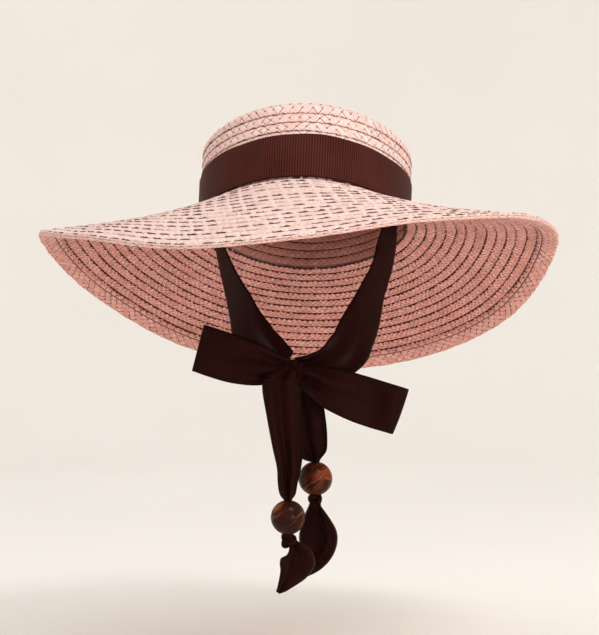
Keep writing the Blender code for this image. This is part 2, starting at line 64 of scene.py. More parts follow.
# Brim
BRIM_REACH = 0.130
EDGE_BRAID_WIDTH = 0.015
EDGE_BRAID_THICKNESS = 0.002
GAP = 0.0003
BrimRow = namedtuple("BrimRow", "reach root_droop rim_droop")
BRIM_ROWS = rows_of(
    BrimRow,
    (0.96, 39, 45), (0.96, 28, 29), (0.98, 15, 10), (0.97, 3, 9),
    (1.00, 13, 23), (1.00, 20, 31), (0.97, 22, 36), (0.98, 20, 30),
    (1.01, 11, 17), (1.05, 8, 9), (1.02, 25, 26), (0.98, 40, 44),
)

# Plaited straw
BRIM_PLAIT_ROWS = 15
WALL_PLAIT_ROWS = 7
SHOULDER_SEAMS = (0.0539, 0.0645, 0.0738)
TIP_PLAIT_ROWS = 11
CROWN_PLAIT_ROWS = WALL_PLAIT_ROWS + len(SHOULDER_SEAMS) - 1 + TIP_PLAIT_ROWS
EDGE_PLAIT_LENGTH = 0.0084
PLAITS_PER_PILLOW = 2
PILLOW_SLANT = 0.8
ROW_SHIFT = 0.74
RELIEF_LEVEL = 0.6
WAVE_SHARE = 0.55
LIP_PLACE = 0.95

# Ribbon
BAND_WIDTH = 0.035
BAND_LIFT = 0.0006
RIBBON_THICKNESS = 0.001
RIB_PITCH = 0.0021
TIE_RIB_PITCH = 0.0018
RIB_HEIGHT = 0.00016
TIE_THICKNESS = 0.0009
TIE_COLUMNS = 16
TIE_STEP = 0.00045
BORDER_SHARE = 0.05
BORDER_THINNING = 0.00012
WARP_THREADS = 62.0
LAP_START = math.radians(-104.0)
LAP_LENGTH = 0.032
TIE_WIDTH = 0.037
TIE_HOLD = 0.026
TIE_STRAIGHT = 0.005
TIE_CLEARANCE = 0.0006
TIE_AZIMUTH = math.radians(88.0)
TIE_FLAT_BY = 0.3

# Bow
KNOT_WIDTH = 0.023
KNOT_DEPTH = 0.020
KNOT_HEIGHT = 0.020
LOOP_REACH_LEFT = 0.075
LOOP_REACH_RIGHT = 0.090
LOOP_SLANT_LEFT = math.radians(14.5)
LOOP_SLANT_RIGHT = math.radians(20.0)
LOOP_DEPTH = 0.015
LOOP_FORWARD = 0.005

# Hanging ends
TAIL_LENGTH_LEFT = 0.0975
TAIL_LENGTH_RIGHT = 0.0703
BUNDLE_WIDTH = 0.0056
BEAD_DIAMETER = 0.0266
BEAD_BORE = 0.0078
BEAD_KNOT_WIDTH = 0.0112
BEAD_KNOT_HEIGHT = 0.0125
KNOT_SIZE_LEFT = (0.0118, 0.0100, 0.0128)
KNOT_SIZE_RIGHT = (0.0105, 0.0100, 0.0150)
TIP_LENGTH_LEFT = 0.040
TIP_LENGTH_RIGHT = 0.060

HAT_FRAME = (
    Matrix.Rotation(ROLL_RIGHT, 4, "Y")
    @ Matrix.Rotation(-TILT_BACK, 4, "X")
    @ Matrix.Translation((0.0, 0.0, -SEAT_HEIGHT))
)
HAT_TURN = np.array(HAT_FRAME.to_3x3())
HAT_PLACE = np.array(HAT_FRAME.translation)
CROWN_BASE = HAT_PLACE.copy()
KNOT = CROWN_BASE + np.array([-0.0102, -0.111, -0.1208])

# Chin ties from the crown's base to the knot, as shares of the way. Width is a share of TIE_WIDTH.
TieRow = namedtuple("TieRow", "across ahead down inward forward up width")
TIE_ROWS_RIGHT = rows_of(
    TieRow,
    (0.07, -0.02, -0.09, 0.25, 0.93, 0.14, 1.00),
    (0.12, 0.00, 0.01, 0.42, 0.90, 0.04, 1.00),
    (0.15, 0.01, 0.12, 0.48, 0.88, 0.03, 1.00),
    (0.19, 0.05, 0.26, 0.47, 0.88, 0.06, 1.00),
    (0.26, 0.14, 0.42, 0.50, 0.86, 0.10, 1.00),
    (0.34, 0.30, 0.59, 0.60, 0.78, 0.14, 1.00),
    (0.43, 0.50, 0.73, 0.68, 0.68, 0.24, 1.00),
    (0.52, 0.72, 0.85, 0.72, 0.56, 0.34, 0.97),
    (0.66, 0.89, 0.93, 0.70, 0.40, 0.52, 0.85),
    (0.83, 0.93, 0.97, 0.58, 0.22, 0.74, 0.62),
    (0.98, 0.94, 0.97, 0.40, 0.10, 0.88, 0.42),
)
TIE_ROWS_LEFT = rows_of(
    TieRow,
    (0.06, -0.03, -0.07, 0.12, 0.96, 0.14, 1.00),
    (0.13, 0.00, 0.05, 0.22, 0.98, 0.00, 1.00),
    (0.16, 0.01, 0.16, 0.25, 0.97, 0.00, 1.00),
    (0.22, 0.05, 0.29, 0.30, 0.95, 0.04, 1.00),
    (0.30, 0.14, 0.43, 0.38, 0.93, 0.06, 1.00),
    (0.40, 0.28, 0.58, 0.50, 0.86, 0.11, 1.00),
    (0.50, 0.46, 0.72, 0.60, 0.79, 0.17, 1.00),
    (0.65, 0.69, 0.84, 0.66, 0.69, 0.28, 0.97),
    (0.83, 0.87, 0.92, 0.61, 0.60, 0.47, 0.85),
    (0.96, 0.93, 0.96, 0.50, 0.35, 0.75, 0.62),
    (0.99, 0.94, 0.96, 0.38, 0.15, 0.90, 0.42),
)

# A loop of the bow, out along its front layer and back along its rear one. Out is a share of its
# reach, ahead of LOOP_DEPTH, and sag, width and arch are shares of TIE_WIDTH.
LoopRow = namedtuple("LoopRow", "out ahead sag width arch")
LOOP_REAR_ROWS = rows_of(
    LoopRow,
    (0.82, -0.42, 0.02, 1.00, 0.00),
    (0.60, -0.50, 0.04, 0.98, 0.02),
    (0.36, -0.40, 0.03, 0.86, 0.04),
    (0.18, -0.28, 0.01, 0.62, 0.04),
    (0.02, -0.10, 0.00, 0.40, 0.00),
)
LOOP_ROWS_LEFT = rows_of(
    LoopRow,
    (0.02, 0.10, 0.00, 0.40, 0.00),
    (0.18, 0.20, 0.01, 0.62, 0.04),
    (0.36, 0.40, 0.03, 0.86, 0.06),
    (0.60, 0.50, 0.04, 0.98, 0.03),
    (0.82, 0.42, 0.02, 1.00, -0.01),
    (0.95, 0.26, 0.00, 1.00, 0.00),
    (1.00, 0.00, 0.00, 1.00, 0.00),
    (0.95, -0.26, 0.00, 1.00, 0.00),
    *LOOP_REAR_ROWS,
)
LOOP_ROWS_RIGHT = rows_of(
    LoopRow,
    (0.02, 0.10, 0.00, 0.40, 0.00),
    (0.18, 0.20, 0.01, 0.62, 0.03),
    (0.36, 0.44, 0.03, 0.86, 0.09),
    (0.60, 0.44, 0.04, 0.98, -0.04),
    (0.76, 0.34, 0.03, 1.00, -0.10),
    (0.90, 0.38, 0.01, 1.00, 0.02),
    (0.99, 0.12, 0.00, 1.00, 0.02),
    (0.97, -0.20, 0.00, 1.00, 0.00),
    *LOOP_REAR_ROWS,
)

# Hanging ends. Down and aside are shares of the tail's length, ahead of LOOP_DEPTH, width and arch
# of TIE_WIDTH, and turn is in degrees.
TailRow = namedtuple("TailRow", "down aside ahead width arch turn")
TAIL_ROWS_LEFT = rows_of(
    TailRow,
    (-0.02, -0.04, 0.26, 0.48, 0.00, 0),
    (0.03, -0.06, 0.62, 0.68, 0.01, 0),
    (0.10, -0.08, 0.78, 0.80, 0.02, 0),
    (0.30, -0.06, 0.75, 0.75, 0.06, 4),
    (0.57, -0.03, 0.72, 0.65, 0.09, 8),
    (0.74, -0.02, 0.84, 0.51, 0.12, 10),
    (0.87, -0.03, 0.90, 0.41, 0.10, 8),
    (0.96, -0.03, 0.90, 0.32, 0.06, 4),
    (1.0, -0.029, 0.90, BUNDLE_WIDTH / TIE_WIDTH, 0.00, 0),
)
TAIL_ROWS_RIGHT = rows_of(
    TailRow,
    (0.02, 0.04, -0.57, 0.36, 0.03, 0),
    (0.12, 0.08, -0.76, 0.56, 0.04, 0),
    (0.30, 0.12, -0.80, 0.80, 0.04, -6),
    (0.54, 0.17, -0.85, 0.78, 0.06, -10),
    (0.76, 0.20, -0.85, 0.74, 0.08, -8),
    (0.92, 0.24, -0.85, 0.56, 0.10, -4),
    (1.0, 0.262, -0.85, BUNDLE_WIDTH / TIE_WIDTH, 0.00, 0),
)

# Ribbon below each bead's knot. Down, aside and ahead are shares of the tip's length.
TipRow = namedtuple("TipRow", "down aside ahead width arch turn")
TIP_ROWS_LEFT = rows_of(
    TipRow,
    (-0.03, 0.02, 0.00, 0.16, 0.02, 20),
    (0.10, 0.12, 0.02, 0.24, 0.04, 24),
    (0.25, 0.19, 0.05, 0.62, 0.08, 28),
    (0.42, 0.18, 0.06, 0.84, 0.08, 30),
    (0.62, 0.10, 0.04, 0.74, 0.06, 30),
    (0.84, -0.06, 0.02, 0.40, 0.03, 28),
    (1.00, -0.20, 0.00, 0.10, 0.00, 26),
)
TIP_ROWS_RIGHT = rows_of(
    TipRow,
    (-0.02, 0.00, 0.00, 0.16, 0.02, -20),
    (0.08, 0.00, -0.02, 0.34, 0.05, -24),
    (0.26, 0.02, -0.04, 0.70, 0.08, -28),
    (0.44, 0.04, -0.05, 0.92, 0.08, -30),
    (0.62, 0.02, -0.04, 0.86, 0.06, -30),
    (0.80, -0.06, -0.02, 0.60, 0.04, -28),
    (1.00, -0.20, 0.00, 0.10, 0.00, -26),
)


# Surfaces of the hat, upright


def unit(vectors):
    return vectors / np.maximum(np.linalg.norm(vectors, axis=-1, keepdims=True), 1e-12)


def stacked(*values):
    """Points or UVs from their coordinates, spread to one shape."""
    return np.stack(np.broadcast_arrays(*values), axis=-1)


def cosine(turns):
    return np.cos(2.0 * math.pi * turns)


def full_turn(count):
    """Even angles round a whole turn, one in each row."""
    return np.linspace(0.0, 2.0 * math.pi, count, endpoint=False)[:, None]


def travel_round(line):
    """Way along closed lines of points, to each point and for the whole round."""
    step = np.linalg.norm(np.roll(line, -1, 0) - line, axis=-1)
    return np.cumsum(step, axis=0) - step, step.sum(axis=0)


def oval(azimuth, half_width, half_length):
    """Points of the crown's oval, azimuth 0 at the front, turning to the right."""
    along = (1.0 - CROWN_KEENNESS) * np.cos(azimuth) + CROWN_KEENNESS * np.cos(3.0 * azimuth)
    return stacked(half_width * np.sin(azimuth), -half_length * along, 0.0)


def oval_normal(azimuth):
    across = (1.0 - CROWN_KEENNESS) * np.sin(azimuth) + 3.0 * CROWN_KEENNESS * np.sin(3.0 * azimuth)
    return unit(stacked(across * CROWN_LENGTH, -np.cos(azimuth) * CROWN_WIDTH, 0.0))


def wall_point(azimuth, height, offset):
    """Points at a height on the crown's wall, offset outward from its outer face."""
    azimuth, height, offset = np.broadcast_arrays(azimuth, height, offset)
    out = offset + CROWN_FLARE * np.maximum(0.0, height) / CROWN_HEIGHT
    point = oval(azimuth, CROWN_WIDTH / 2, CROWN_LENGTH / 2) + oval_normal(azimuth) * out[..., None]
    point[..., 2] += height
    return point


def curve_value(before, start, end, after, share):
    """Catmull-Rom value between start and end."""
    return 0.5 * (
        2.0 * start
        + (end - before) * share
        + (2.0 * before - 5.0 * start + 4.0 * end - after) * share ** 2
        + (3.0 * start - before - 3.0 * end + after) * share ** 3
    )


def brim_values(azimuth):
    """Reach, root droop and rim droop at the azimuths, smooth round the whole brim."""
    table = np.array(BRIM_ROWS, float)
    place = (azimuth % (2.0 * math.pi)) / (2.0 * math.pi) * len(table)
    index = np.floor(place).astype(int)
    rows = (table[(index + shift) % len(table)] for shift in (-1, 0, 1, 2))
    values = curve_value(*rows, (place - index)[..., None])
    return values[..., 0] * BRIM_REACH, np.radians(values[..., 1]), np.radians(values[..., 2])


def brim_surface(azimuth, share):
    """Points on the brim's upper face, share 0 at the crown and 1 at the rim."""
    azimuth, share = np.broadcast_arrays(azimuth, share)
    reach, root, rim = brim_values(azimuth)
    half_bend = (rim - root) * share / 2.0
    chord = reach * share * np.sinc(half_bend / math.pi)
    direction = root + half_bend
    outward = stacked(np.sin(azimuth), -np.cos(azimuth), -np.tan(direction))
    return wall_point(azimuth, -GAP, -STRAW_WALL) + outward * (chord * np.cos(direction))[..., None]


def brim_below(azimuth, share, depth):
    """Points under the brim's upper face, square to it, and straight down at the root."""
    azimuth, share, depth = np.broadcast_arrays(azimuth, share, depth)
    step = 0.002
    around = brim_surface(azimuth + step, share) - brim_surface(azimuth - step, share)
    outward = brim_surface(azimuth, share + step) - brim_surface(azimuth, share - step)
    down = unit(np.cross(around, outward))
    down = np.where(down[..., 2:] > 0.0, -down, down)
    square = np.clip(share / 0.04, 0.0, 1.0)[..., None]
    down = unit(down * square + np.array([0.0, 0.0, -1.0]) * (1.0 - square))
    return brim_surface(azimuth, share) + down * depth[..., None]


def crown_surface(azimuth, share, inward=0.0):
    """Points on the crown, share 0 at its base and 1 mid tip, inward of its outer face."""
    azimuth, share = np.broadcast_arrays(azimuth, share)
    radius = TIP_EDGE_RADIUS
    wall_top = CROWN_HEIGHT - radius
    tip_start, tip_reach = wall_top + radius * math.pi / 2.0, CROWN_WIDTH / 2 - radius
    shoulder = WALL_PLAIT_ROWS + np.arange(len(SHOULDER_SEAMS))
    travel = np.interp(share * CROWN_PLAIT_ROWS, (0.0, *shoulder, CROWN_PLAIT_ROWS),
                       (0.0, *SHOULDER_SEAMS, tip_start + tip_reach))
    turn = np.clip((travel - wall_top) / radius, 0.0, math.pi / 2.0)
    height = np.minimum(travel, wall_top) + (radius - inward) * np.sin(turn)
    flare = CROWN_FLARE * height / CROWN_HEIGHT
    out = flare - radius * (1.0 - np.cos(turn)) - inward * np.cos(turn)
    spread = 1.0 - np.clip((travel - tip_start) / tip_reach, 0.0, 1.0)
    height = height + TIP_DOME * (1.0 - spread ** 2)
    point = oval(azimuth, (CROWN_WIDTH / 2 + out) * spread, (CROWN_LENGTH / 2 + out) * spread)
    point[..., 2] += height
    return point


# Meshes


def grid_object(name, points, weave, material, wraps=False, flip=False, capped=False):
    """A smooth mesh over rows of points. Where they wrap, the weave's UVs have one row more."""
    rows, columns = points.shape[:2]
    row = np.arange(rows if wraps else rows - 1)[:, None]
    column = np.arange(columns - 1)[None, :]
    after = (row + 1) % rows
    near, far = row * columns + column, after * columns + column
    faces = stacked(near, far, far + 1, near + 1)
    corners = np.stack([weave[:-1, :-1], weave[1:, :-1], weave[1:, 1:], weave[:-1, 1:]], axis=2)
    if flip:
        faces, corners = faces[..., ::-1], corners[..., ::-1, :]
    faces, corners = faces.reshape(-1, 4), corners.reshape(-1, 2)
    if capped:
        half = (columns - 1) // 2
        for end, turned in ((0, flip), (rows - 1, not flip)):
            near = np.arange(half - 1)
            cap = end * columns + stacked(near, near + 1, columns - 3 - near, columns - 2 - near)
            place = weave[end, cap % columns]
            if turned:
                cap, place = cap[:, ::-1], place[:, ::-1]
            faces = np.vstack([faces, cap])
            corners = np.vstack([corners, place.reshape(-1, 2)])
    mesh = bpy.data.meshes.new(name)
    mesh.vertices.add(rows * columns)
    mesh.vertices.foreach_set("co", points.reshape(-1))
    mesh.loops.add(len(faces) * 4)
    mesh.loops.foreach_set("vertex_index", faces.reshape(-1))
    mesh.polygons.add(len(faces))
    mesh.polygons.foreach_set("loop_start", np.arange(len(faces)) * 4)
    mesh.update(calc_edges=True)
    mesh.uv_layers.new(name="weave").data.foreach_set("uv", corners.reshape(-1))
    merged = bmesh.new()
    merged.from_mesh(mesh)
    bmesh.ops.remove_doubles(merged, verts=merged.verts, dist=1e-7)
    merged.to_mesh(mesh)
    merged.free()
    mesh.shade_smooth()
    mesh.materials.append(material)
    made = bpy.data.objects.new(name, mesh)
    bpy.context.collection.objects.link(made)
    return made


def finish_piece(piece, slot, *nodes):
    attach(piece, "root")
    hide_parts(*nodes)
    return piece


def grid_normals(points, wraps):
    along = np.roll(points, -1, 0) - np.roll(points, 1, 0) if wraps else np.gradient(points, axis=0)
    return unit(np.cross(along, np.gradient(points, axis=1)))


def upright_to_world(points):
    return points @ HAT_TURN.T + HAT_PLACE


def jitter(cell, row):
    """Even spread of numbers from 0 to 1, the same for the same cell and row."""
    mixed = np.sin(cell * 12.9898 + row * 78.233) * 43758.5453
    return mixed - np.floor(mixed)


def plait_height(along, across, slant):
    """Flat straws crossing on the slant, from 0 in a gap to 1 on a straw's back."""
    first = along + slant * across
    second = along - slant * across
    a = np.abs(first - np.floor(first) - 0.5) * 2.0
    b = np.abs(second - np.floor(second) - 0.5) * 2.0
    over = (np.floor(first) + np.floor(second)) % 2.0 > 0.5
    return (1.0 - np.where(over, a, b) ** 3) * (1.0 - 0.5 * np.where(over, b, a) ** 2)


# Section of one sewn row from its tucked edge to its proud lip
ShinglePoint = namedtuple("ShinglePoint", "across height relief scallop")
SHINGLE = rows_of(
    ShinglePoint,
    (0.00, 0.00, 0.0, 0.0),
    (0.10, 0.30, 0.5, 0.0),
    (0.30, 0.60, 1.0, 0.0),
    (0.55, 0.85, 1.0, 0.2),
    (0.78, 1.00, 1.0, 0.6),
    (0.93, 0.90, 0.7, 1.0),
    (0.98, 0.10, 0.2, 1.0),
    (1.00, 0.00, 0.0, 0.0),
)
PILLOW_SHINGLE = rows_of(
    ShinglePoint,
    (0.00, 0.00, 0.0, 0.0),
    (0.12, 0.08, 0.1, 0.0),
    (0.34, 0.26, 0.7, 0.0),
    (0.58, 0.66, 1.0, 0.2),
    (0.78, 1.00, 1.0, 0.6),
    (0.88, 1.00, 0.8, 1.0),
    (0.95, 0.05, 0.1, 1.0),
    (1.00, 0.00, 0.0, 0.0),
)
COARSE_SHINGLE = (SHINGLE[0], SHINGLE[2], SHINGLE[4], SHINGLE[6], SHINGLE[7])
RowLook = namedtuple("RowLook", "lift pillow plait scallop plait_length slant around")
TOP_ROWS = RowLook(0.0009, 0.00055, 0.00025, 0.07, 0.0060, 1.0, 900)
CROWN_ROWS = RowLook(0.0008, 0.00030, 0.00040, 0.12, 0.0080, 1.0, 600)
UNDER_ROWS = RowLook(0.0009, 0.00035, 0.00045, 0.26, 0.0050, 1.5, 860)
INNER_ROWS = RowLook(0.0008, 0.00020, 0.00025, 0.15, 0.0056, 1.5, 360)

# The brim's edge rolls over, out from the rim and down from its upper face
RIM_ROLL = ((0.0004, 0.0005), (0.0006, 0.0011), (0.0003, 0.0018), (-0.0004, 0.0021))
ROLL_STEP = 0.02


def sewn_rows(name, surface, rows, look, material, lip_out, side, section=SHINGLE,
              rim=None, root=None):
    """Rows of plait sewn one over the other. Surface takes azimuth and a share of all the rows."""
    azimuth = math.pi + full_turn(look.around)
    index, place, height, relief, scallop = (np.array(values) for values in zip(*(
        (row, row + point.across, point.height, point.relief, point.scallop)
        for row in range(rows) for point in section)))
    if not lip_out:
        index, place = rows - 1 - index[::-1], rows - place[::-1]
        height, relief, scallop = height[::-1], relief[::-1], scallop[::-1]
    travel, whole = travel_round(surface(azimuth, place[None, :] / rows))
    middle = [int(np.argmin(np.abs(place - (row + 0.5)))) for row in range(rows)]
    group = PLAITS_PER_PILLOW
    pillows = [max(1, round(whole[at] / look.plait_length / group)) for at in middle]
    plaits = group * np.array(pillows)
    share = np.vstack([travel[:, middle] / whole[middle], np.ones((1, rows))])
    start = np.floor(jitter(np.arange(rows), 3.0) * 8.0) + ROW_SHIFT * np.arange(rows)
    along_row = share * plaits + start
    along = along_row[:-1, index]
    across = place[None, :] - index
    pillow = (along + PILLOW_SLANT * across) / group
    cell = np.floor(pillow)
    puff = 1.0 - np.abs(2.0 * (pillow - cell) - 1.0) ** 3
    first = np.floor(start[index] / group)
    luck = jitter((cell - first) % (plaits[index] / group), index * 1.0)
    puff = puff * (0.55 + 0.45 * luck)
    wave = np.abs(np.sin(math.pi * (along + 0.5))) - RELIEF_LEVEL + 0.7 * (luck - 0.5)
    wave = WAVE_SHARE * wave + (1.0 - WAVE_SHARE) * (puff - RELIEF_LEVEL)
    shift = look.scallop * scallop * wave * (1.0 if lip_out else -1.0)
    base = surface(azimuth, np.clip((place[None, :] + shift) / rows, 0.0, 1.02))
    straws = plait_height(along, place[None, :], look.slant) - 0.5
    lift = look.lift * (height - RELIEF_LEVEL) + relief * (
        look.pillow * (puff - RELIEF_LEVEL) + look.plait * straws)
    points = base + grid_normals(base, True) * (lift * side)[..., None]
    joint = np.nonzero(np.diff(place) == 0.0)[0]
    points[:, joint + 1] = points[:, joint]
    weave = stacked(along_row[:, index], place)
    if rim:
        outer = [rim(azimuth, out * (0.6 + 0.8 * puff[:, -1:]), depth) for out, depth in RIM_ROLL]
        points = np.concatenate([points, *outer], axis=1)
        roll = rows - 0.5 + ROLL_STEP * np.arange(1, len(RIM_ROLL) + 1)
        weave = np.concatenate([weave, stacked(weave[:, -1:, 0], roll)], axis=1)
    if root is not None:
        points = np.concatenate([root(azimuth), points], axis=1)
        weave = np.concatenate([weave[:, :1], weave], axis=1)
    return grid_object(name, upright_to_world(points), weave, material, wraps=True, flip=side < 0)


def rim_edge(azimuth, out, depth):
    reach = brim_values(azimuth)[0]
    return brim_below(azimuth, 1.0 + out / reach, depth)


# Ribbon


def smooth_rows(rows, per_row=24):
    table = np.array(rows, float)
    place = np.linspace(0.0, len(table) - 1.0, (len(table) - 1) * per_row + 1)
    index = np.minimum(place.astype(int), len(table) - 2)
    picked = (table[np.clip(index + shift, 0, len(table) - 1)] for shift in (-1, 0, 1, 2))
    return curve_value(*picked, (place - index)[:, None])


FoldLook = namedtuple("FoldLook", "count limit turn skew")


def path_lengths(points):
    return np.concatenate([[0.0], np.cumsum(np.linalg.norm(np.diff(points, axis=0), axis=1))])


def ribbon_piece(name, centres, sides, widths, arches, folds, material):
    """A strip of ribbed ribbon. Where it is drawn in, the cloth is taken up in lengthwise folds."""
    lengths = path_lengths(centres)
    count = max(8, int(lengths[-1] / TIE_STEP))
    even = np.linspace(0.0, lengths[-1], count + 1)
    spread = np.column_stack([centres, sides, widths, arches])
    spread = np.stack([np.interp(even, lengths, values) for values in spread.T], axis=1)
    for _ in range(6):
        spread[1:-1] = (spread[:-2] + 2.0 * spread[1:-1] + spread[2:]) / 4.0
    centre, side, width, arch = spread[:, :3], spread[:, 3:6], spread[:, 6:7], spread[:, 7:8]
    tangent = unit(np.gradient(centre, axis=0))
    side = unit(side - tangent * (side * tangent).sum(-1, keepdims=True))
    face = np.cross(side, tangent)
    share = np.linspace(0.0, 1.0, TIE_COLUMNS + 1)[None, :]
    spare = np.sqrt(np.maximum(TIE_WIDTH ** 2 - width ** 2, 0.0))
    fold = np.minimum(np.minimum(spare / (4.0 * folds.count), 0.25 * width), folds.limit)
    wander = folds.turn + 0.9 * np.sin(even * 31.0)[:, None]
    across = (share - 0.5) * width
    pleats = np.cos(2.0 * math.pi * folds.count * share + wander)
    bulge = arch * np.cos(math.pi * (share - 0.5)) + fold * pleats
    slope_across, slope_bulge = np.gradient(across, axis=1), np.gradient(bulge, axis=1)
    size = np.maximum(np.hypot(slope_across, slope_bulge), 1e-9)
    ribs = even[:, None] / TIE_RIB_PITCH + folds.skew * (share - 0.5)
    border = np.clip((0.5 - np.abs(share - 0.5)) / BORDER_SHARE, 0.0, 1.0)
    rise = RIB_HEIGHT * (cosine(ribs) * 0.5) * border
    thick = (TIE_THICKNESS / 2 + rise - BORDER_THINNING * (1.0 - border))[..., None]
    side, face = side[:, None], face[:, None]
    middle = centre[:, None] + side * across[..., None] + face * bulge[..., None]
    square = (face * slope_across[..., None] - side * slope_bulge[..., None]) / size[..., None]
    upper, lower = middle + square * thick, middle - square * thick
    points = np.concatenate([upper, lower[:, ::-1], upper[:, :1]], axis=1)
    weave = stacked(ribs, share)
    weave = np.concatenate([weave, weave[:, ::-1], weave[:, :1]], axis=1)
    return grid_object(name, points, weave, material, capped=True)


def tie_path(rows, hand):
    """A chin tie, flat against the wall inside the crown and then down to the knot."""
    azimuth = hand * TIE_AZIMUTH
    sweep = hand * TIE_WIDTH / (CROWN_LENGTH * (1.0 - 4.0 * CROWN_KEENNESS))
    front, rear = wall_point(azimuth - sweep, 0.0, 0.0), wall_point(azimuth + sweep, 0.0, 0.0)
    curve = np.linalg.norm(wall_point(azimuth, 0.0, 0.0) - (front + rear) / 2)
    clear = STRAW_WALL + TIE_CLEARANCE + RIBBON_THICKNESS / 2 + curve
    heights = np.array((TIE_HOLD, 0.8 * TIE_HOLD, 0.6 * TIE_HOLD, -TIE_STRAIGHT))
    held = upright_to_world(wall_point(azimuth, heights, -clear))
    forward = HAT_TURN @ unit(front - rear)
    start = held[3]
    span = KNOT - start
    leaves = (held[2] - start) / span
    first = TieRow(*leaves, -hand * forward[0], -forward[1], forward[2], 1.0)
    table = smooth_rows((first, *rows))
    centres = np.vstack([held[:2], start + span * table[:, :3]])
    ways = np.stack([-hand * table[:, 3], -table[:, 4], table[:, 5]], axis=1)
    sides = np.vstack([forward, forward, ways])
    widths = np.concatenate([[TIE_WIDTH] * 2, TIE_WIDTH * table[:, 6]])
    flattens = np.clip(1.0 - table[:, 2] / TIE_FLAT_BY, 0.0, 1.0)
    return centres, sides, widths, hand * curve * np.concatenate([[1.0] * 2, flattens])


def loop_path(rows, reach, slant, hand):
    out = np.array([hand * math.cos(slant), 0.0, -hand * math.sin(slant)])
    up = np.array([math.sin(slant), 0.0, math.cos(slant)])
    ahead = np.array([0.0, -1.0, 0.0])
    table = smooth_rows(rows)
    centres = (
        KNOT + ahead * (LOOP_FORWARD + LOOP_DEPTH * table[:, 1:2])
        + out * (reach * table[:, 0:1]) - up * (TIE_WIDTH * table[:, 2:3]))
    sides = np.tile(up, (len(table), 1))
    return centres, sides, TIE_WIDTH * table[:, 3], -hand * TIE_WIDTH * table[:, 4]


def turned(angles):
    turn = np.radians(angles)
    return np.stack([np.cos(turn), np.sin(turn), 0.0 * turn], axis=1)


def tail_path(rows, length):
    table = smooth_rows(rows)
    ahead = LOOP_FORWARD + LOOP_DEPTH * table[:, 2]
    centres = KNOT + np.stack([length * table[:, 1], -ahead, -length * table[:, 0]], axis=1)
    down = np.linspace(0.1, 1.0, 10)[:, None] * BEAD_DIAMETER
    below = centres[-1] - np.array([0.0, 0.0, 1.0]) * down
    centres = np.vstack([centres, below])
    sides = np.vstack([turned(table[:, 5]), np.tile([1.0, 0.0, 0.0], (10, 1))])
    widths = np.concatenate([TIE_WIDTH * table[:, 3], [BUNDLE_WIDTH] * 10])
    arches = np.concatenate([TIE_WIDTH * table[:, 4], [0.0] * 10])
    return centres, sides, widths, arches


def bead_knot_centre(bead):
    mouth = math.sqrt((BEAD_DIAMETER / 2) ** 2 - (BEAD_BORE / 2) ** 2)
    seat = BEAD_KNOT_HEIGHT / 2 * math.sqrt(1.0 - (BEAD_BORE / BEAD_KNOT_WIDTH) ** 2)
    return bead - np.array([0.0, 0.0, mouth + GAP + seat])


def tip_path(rows, length, start):
    table = smooth_rows(rows)
    centres = start + length * np.stack([table[:, 1], -table[:, 2], -table[:, 0]], axis=1)
    return centres, turned(table[:, 5]), TIE_WIDTH * table[:, 3], TIE_WIDTH * table[:, 4]


# Materials


class Wires:
    """Short hand for the nodes of one tree."""

    def __init__(self, tree):
        self.tree = tree

    def put(self, socket, value):
        if isinstance(value, bpy.types.NodeSocket):
            self.tree.links.new(value, socket)
        else:
            socket.default_value = value

    def fill(self, sockets, values):
        for label, value in values.items():
            self.put(sockets[label], value)

    def node(self, kind, values, output=0, **settings):
        made = self.tree.nodes.new(kind)
        for label, setting in settings.items():
            setattr(made, label, setting)
        self.fill(made.inputs, values)
        return made.outputs[output]

    def math(self, operation, *values):
        return self.node("ShaderNodeMath", dict(enumerate(values)), operation=operation)

    def add(self, first, second):
        return self.math("ADD", first, second)

    def times(self, first, second):
        return self.math("MULTIPLY", first, second)

    def less(self, first, second):
        return self.math("SUBTRACT", first, second)

    def ramp(self, value, low, high):
        values = dict(enumerate((value, low, high, 0.0, 1.0)))
        return self.node("ShaderNodeMapRange", values, interpolation_type="SMOOTHSTEP")

    def blend(self, share, first, second):
        return self.node("ShaderNodeMix", {0: share, 2: first, 3: second}, data_type="FLOAT")

    def mix(self, share, first, second):
        values = {0: share, 6: first, 7: second}
        return self.node("ShaderNodeMix", values, output=2, data_type="RGBA")

    def join(self, x, y, z=0.0):
        return self.node("ShaderNodeCombineXYZ", dict(enumerate((x, y, z))))

    def noise(self, vector, scale=1.0, detail=2.0, rough=0.5):
        values = {"Vector": vector, "Scale": scale, "Detail": detail, "Roughness": rough}
        return self.node("ShaderNodeTexNoise", values, output="Fac")

    def chance(self, vector):
        return self.node("ShaderNodeTexWhiteNoise", {"Vector": vector}, noise_dimensions="3D")

    def split(self, vector):
        made = self.tree.nodes.new("ShaderNodeSeparateXYZ")
        self.put(made.inputs[0], vector)
        return made.outputs

    def effect(self, tree, **values):
        made = self.tree.nodes.new("ShaderNodeGroup")
        made.node_tree = tree
        self.fill(made.inputs, values)
        return made.outputs

    def bump(self, height, strength, distance):
        values = {"Strength": strength, "Distance": distance, "Height": height}
        return self.node("ShaderNodeBump", values)


def new_effect(name, inputs, outputs):
    group = bpy.data.node_groups.new(name, "ShaderNodeTree")
    sockets = [(label, "INPUT") for label in inputs] + [(label, "OUTPUT") for label in outputs]
    for label, way in sockets:
        socket = group.interface.new_socket(name=label, in_out=way, socket_type="NodeSocketFloat")
        if way == "INPUT":
            socket.default_value = inputs[label]
    source, sink = group.nodes.new("NodeGroupInput"), group.nodes.new("NodeGroupOutput")
    return group, Wires(group), source.outputs, sink.inputs


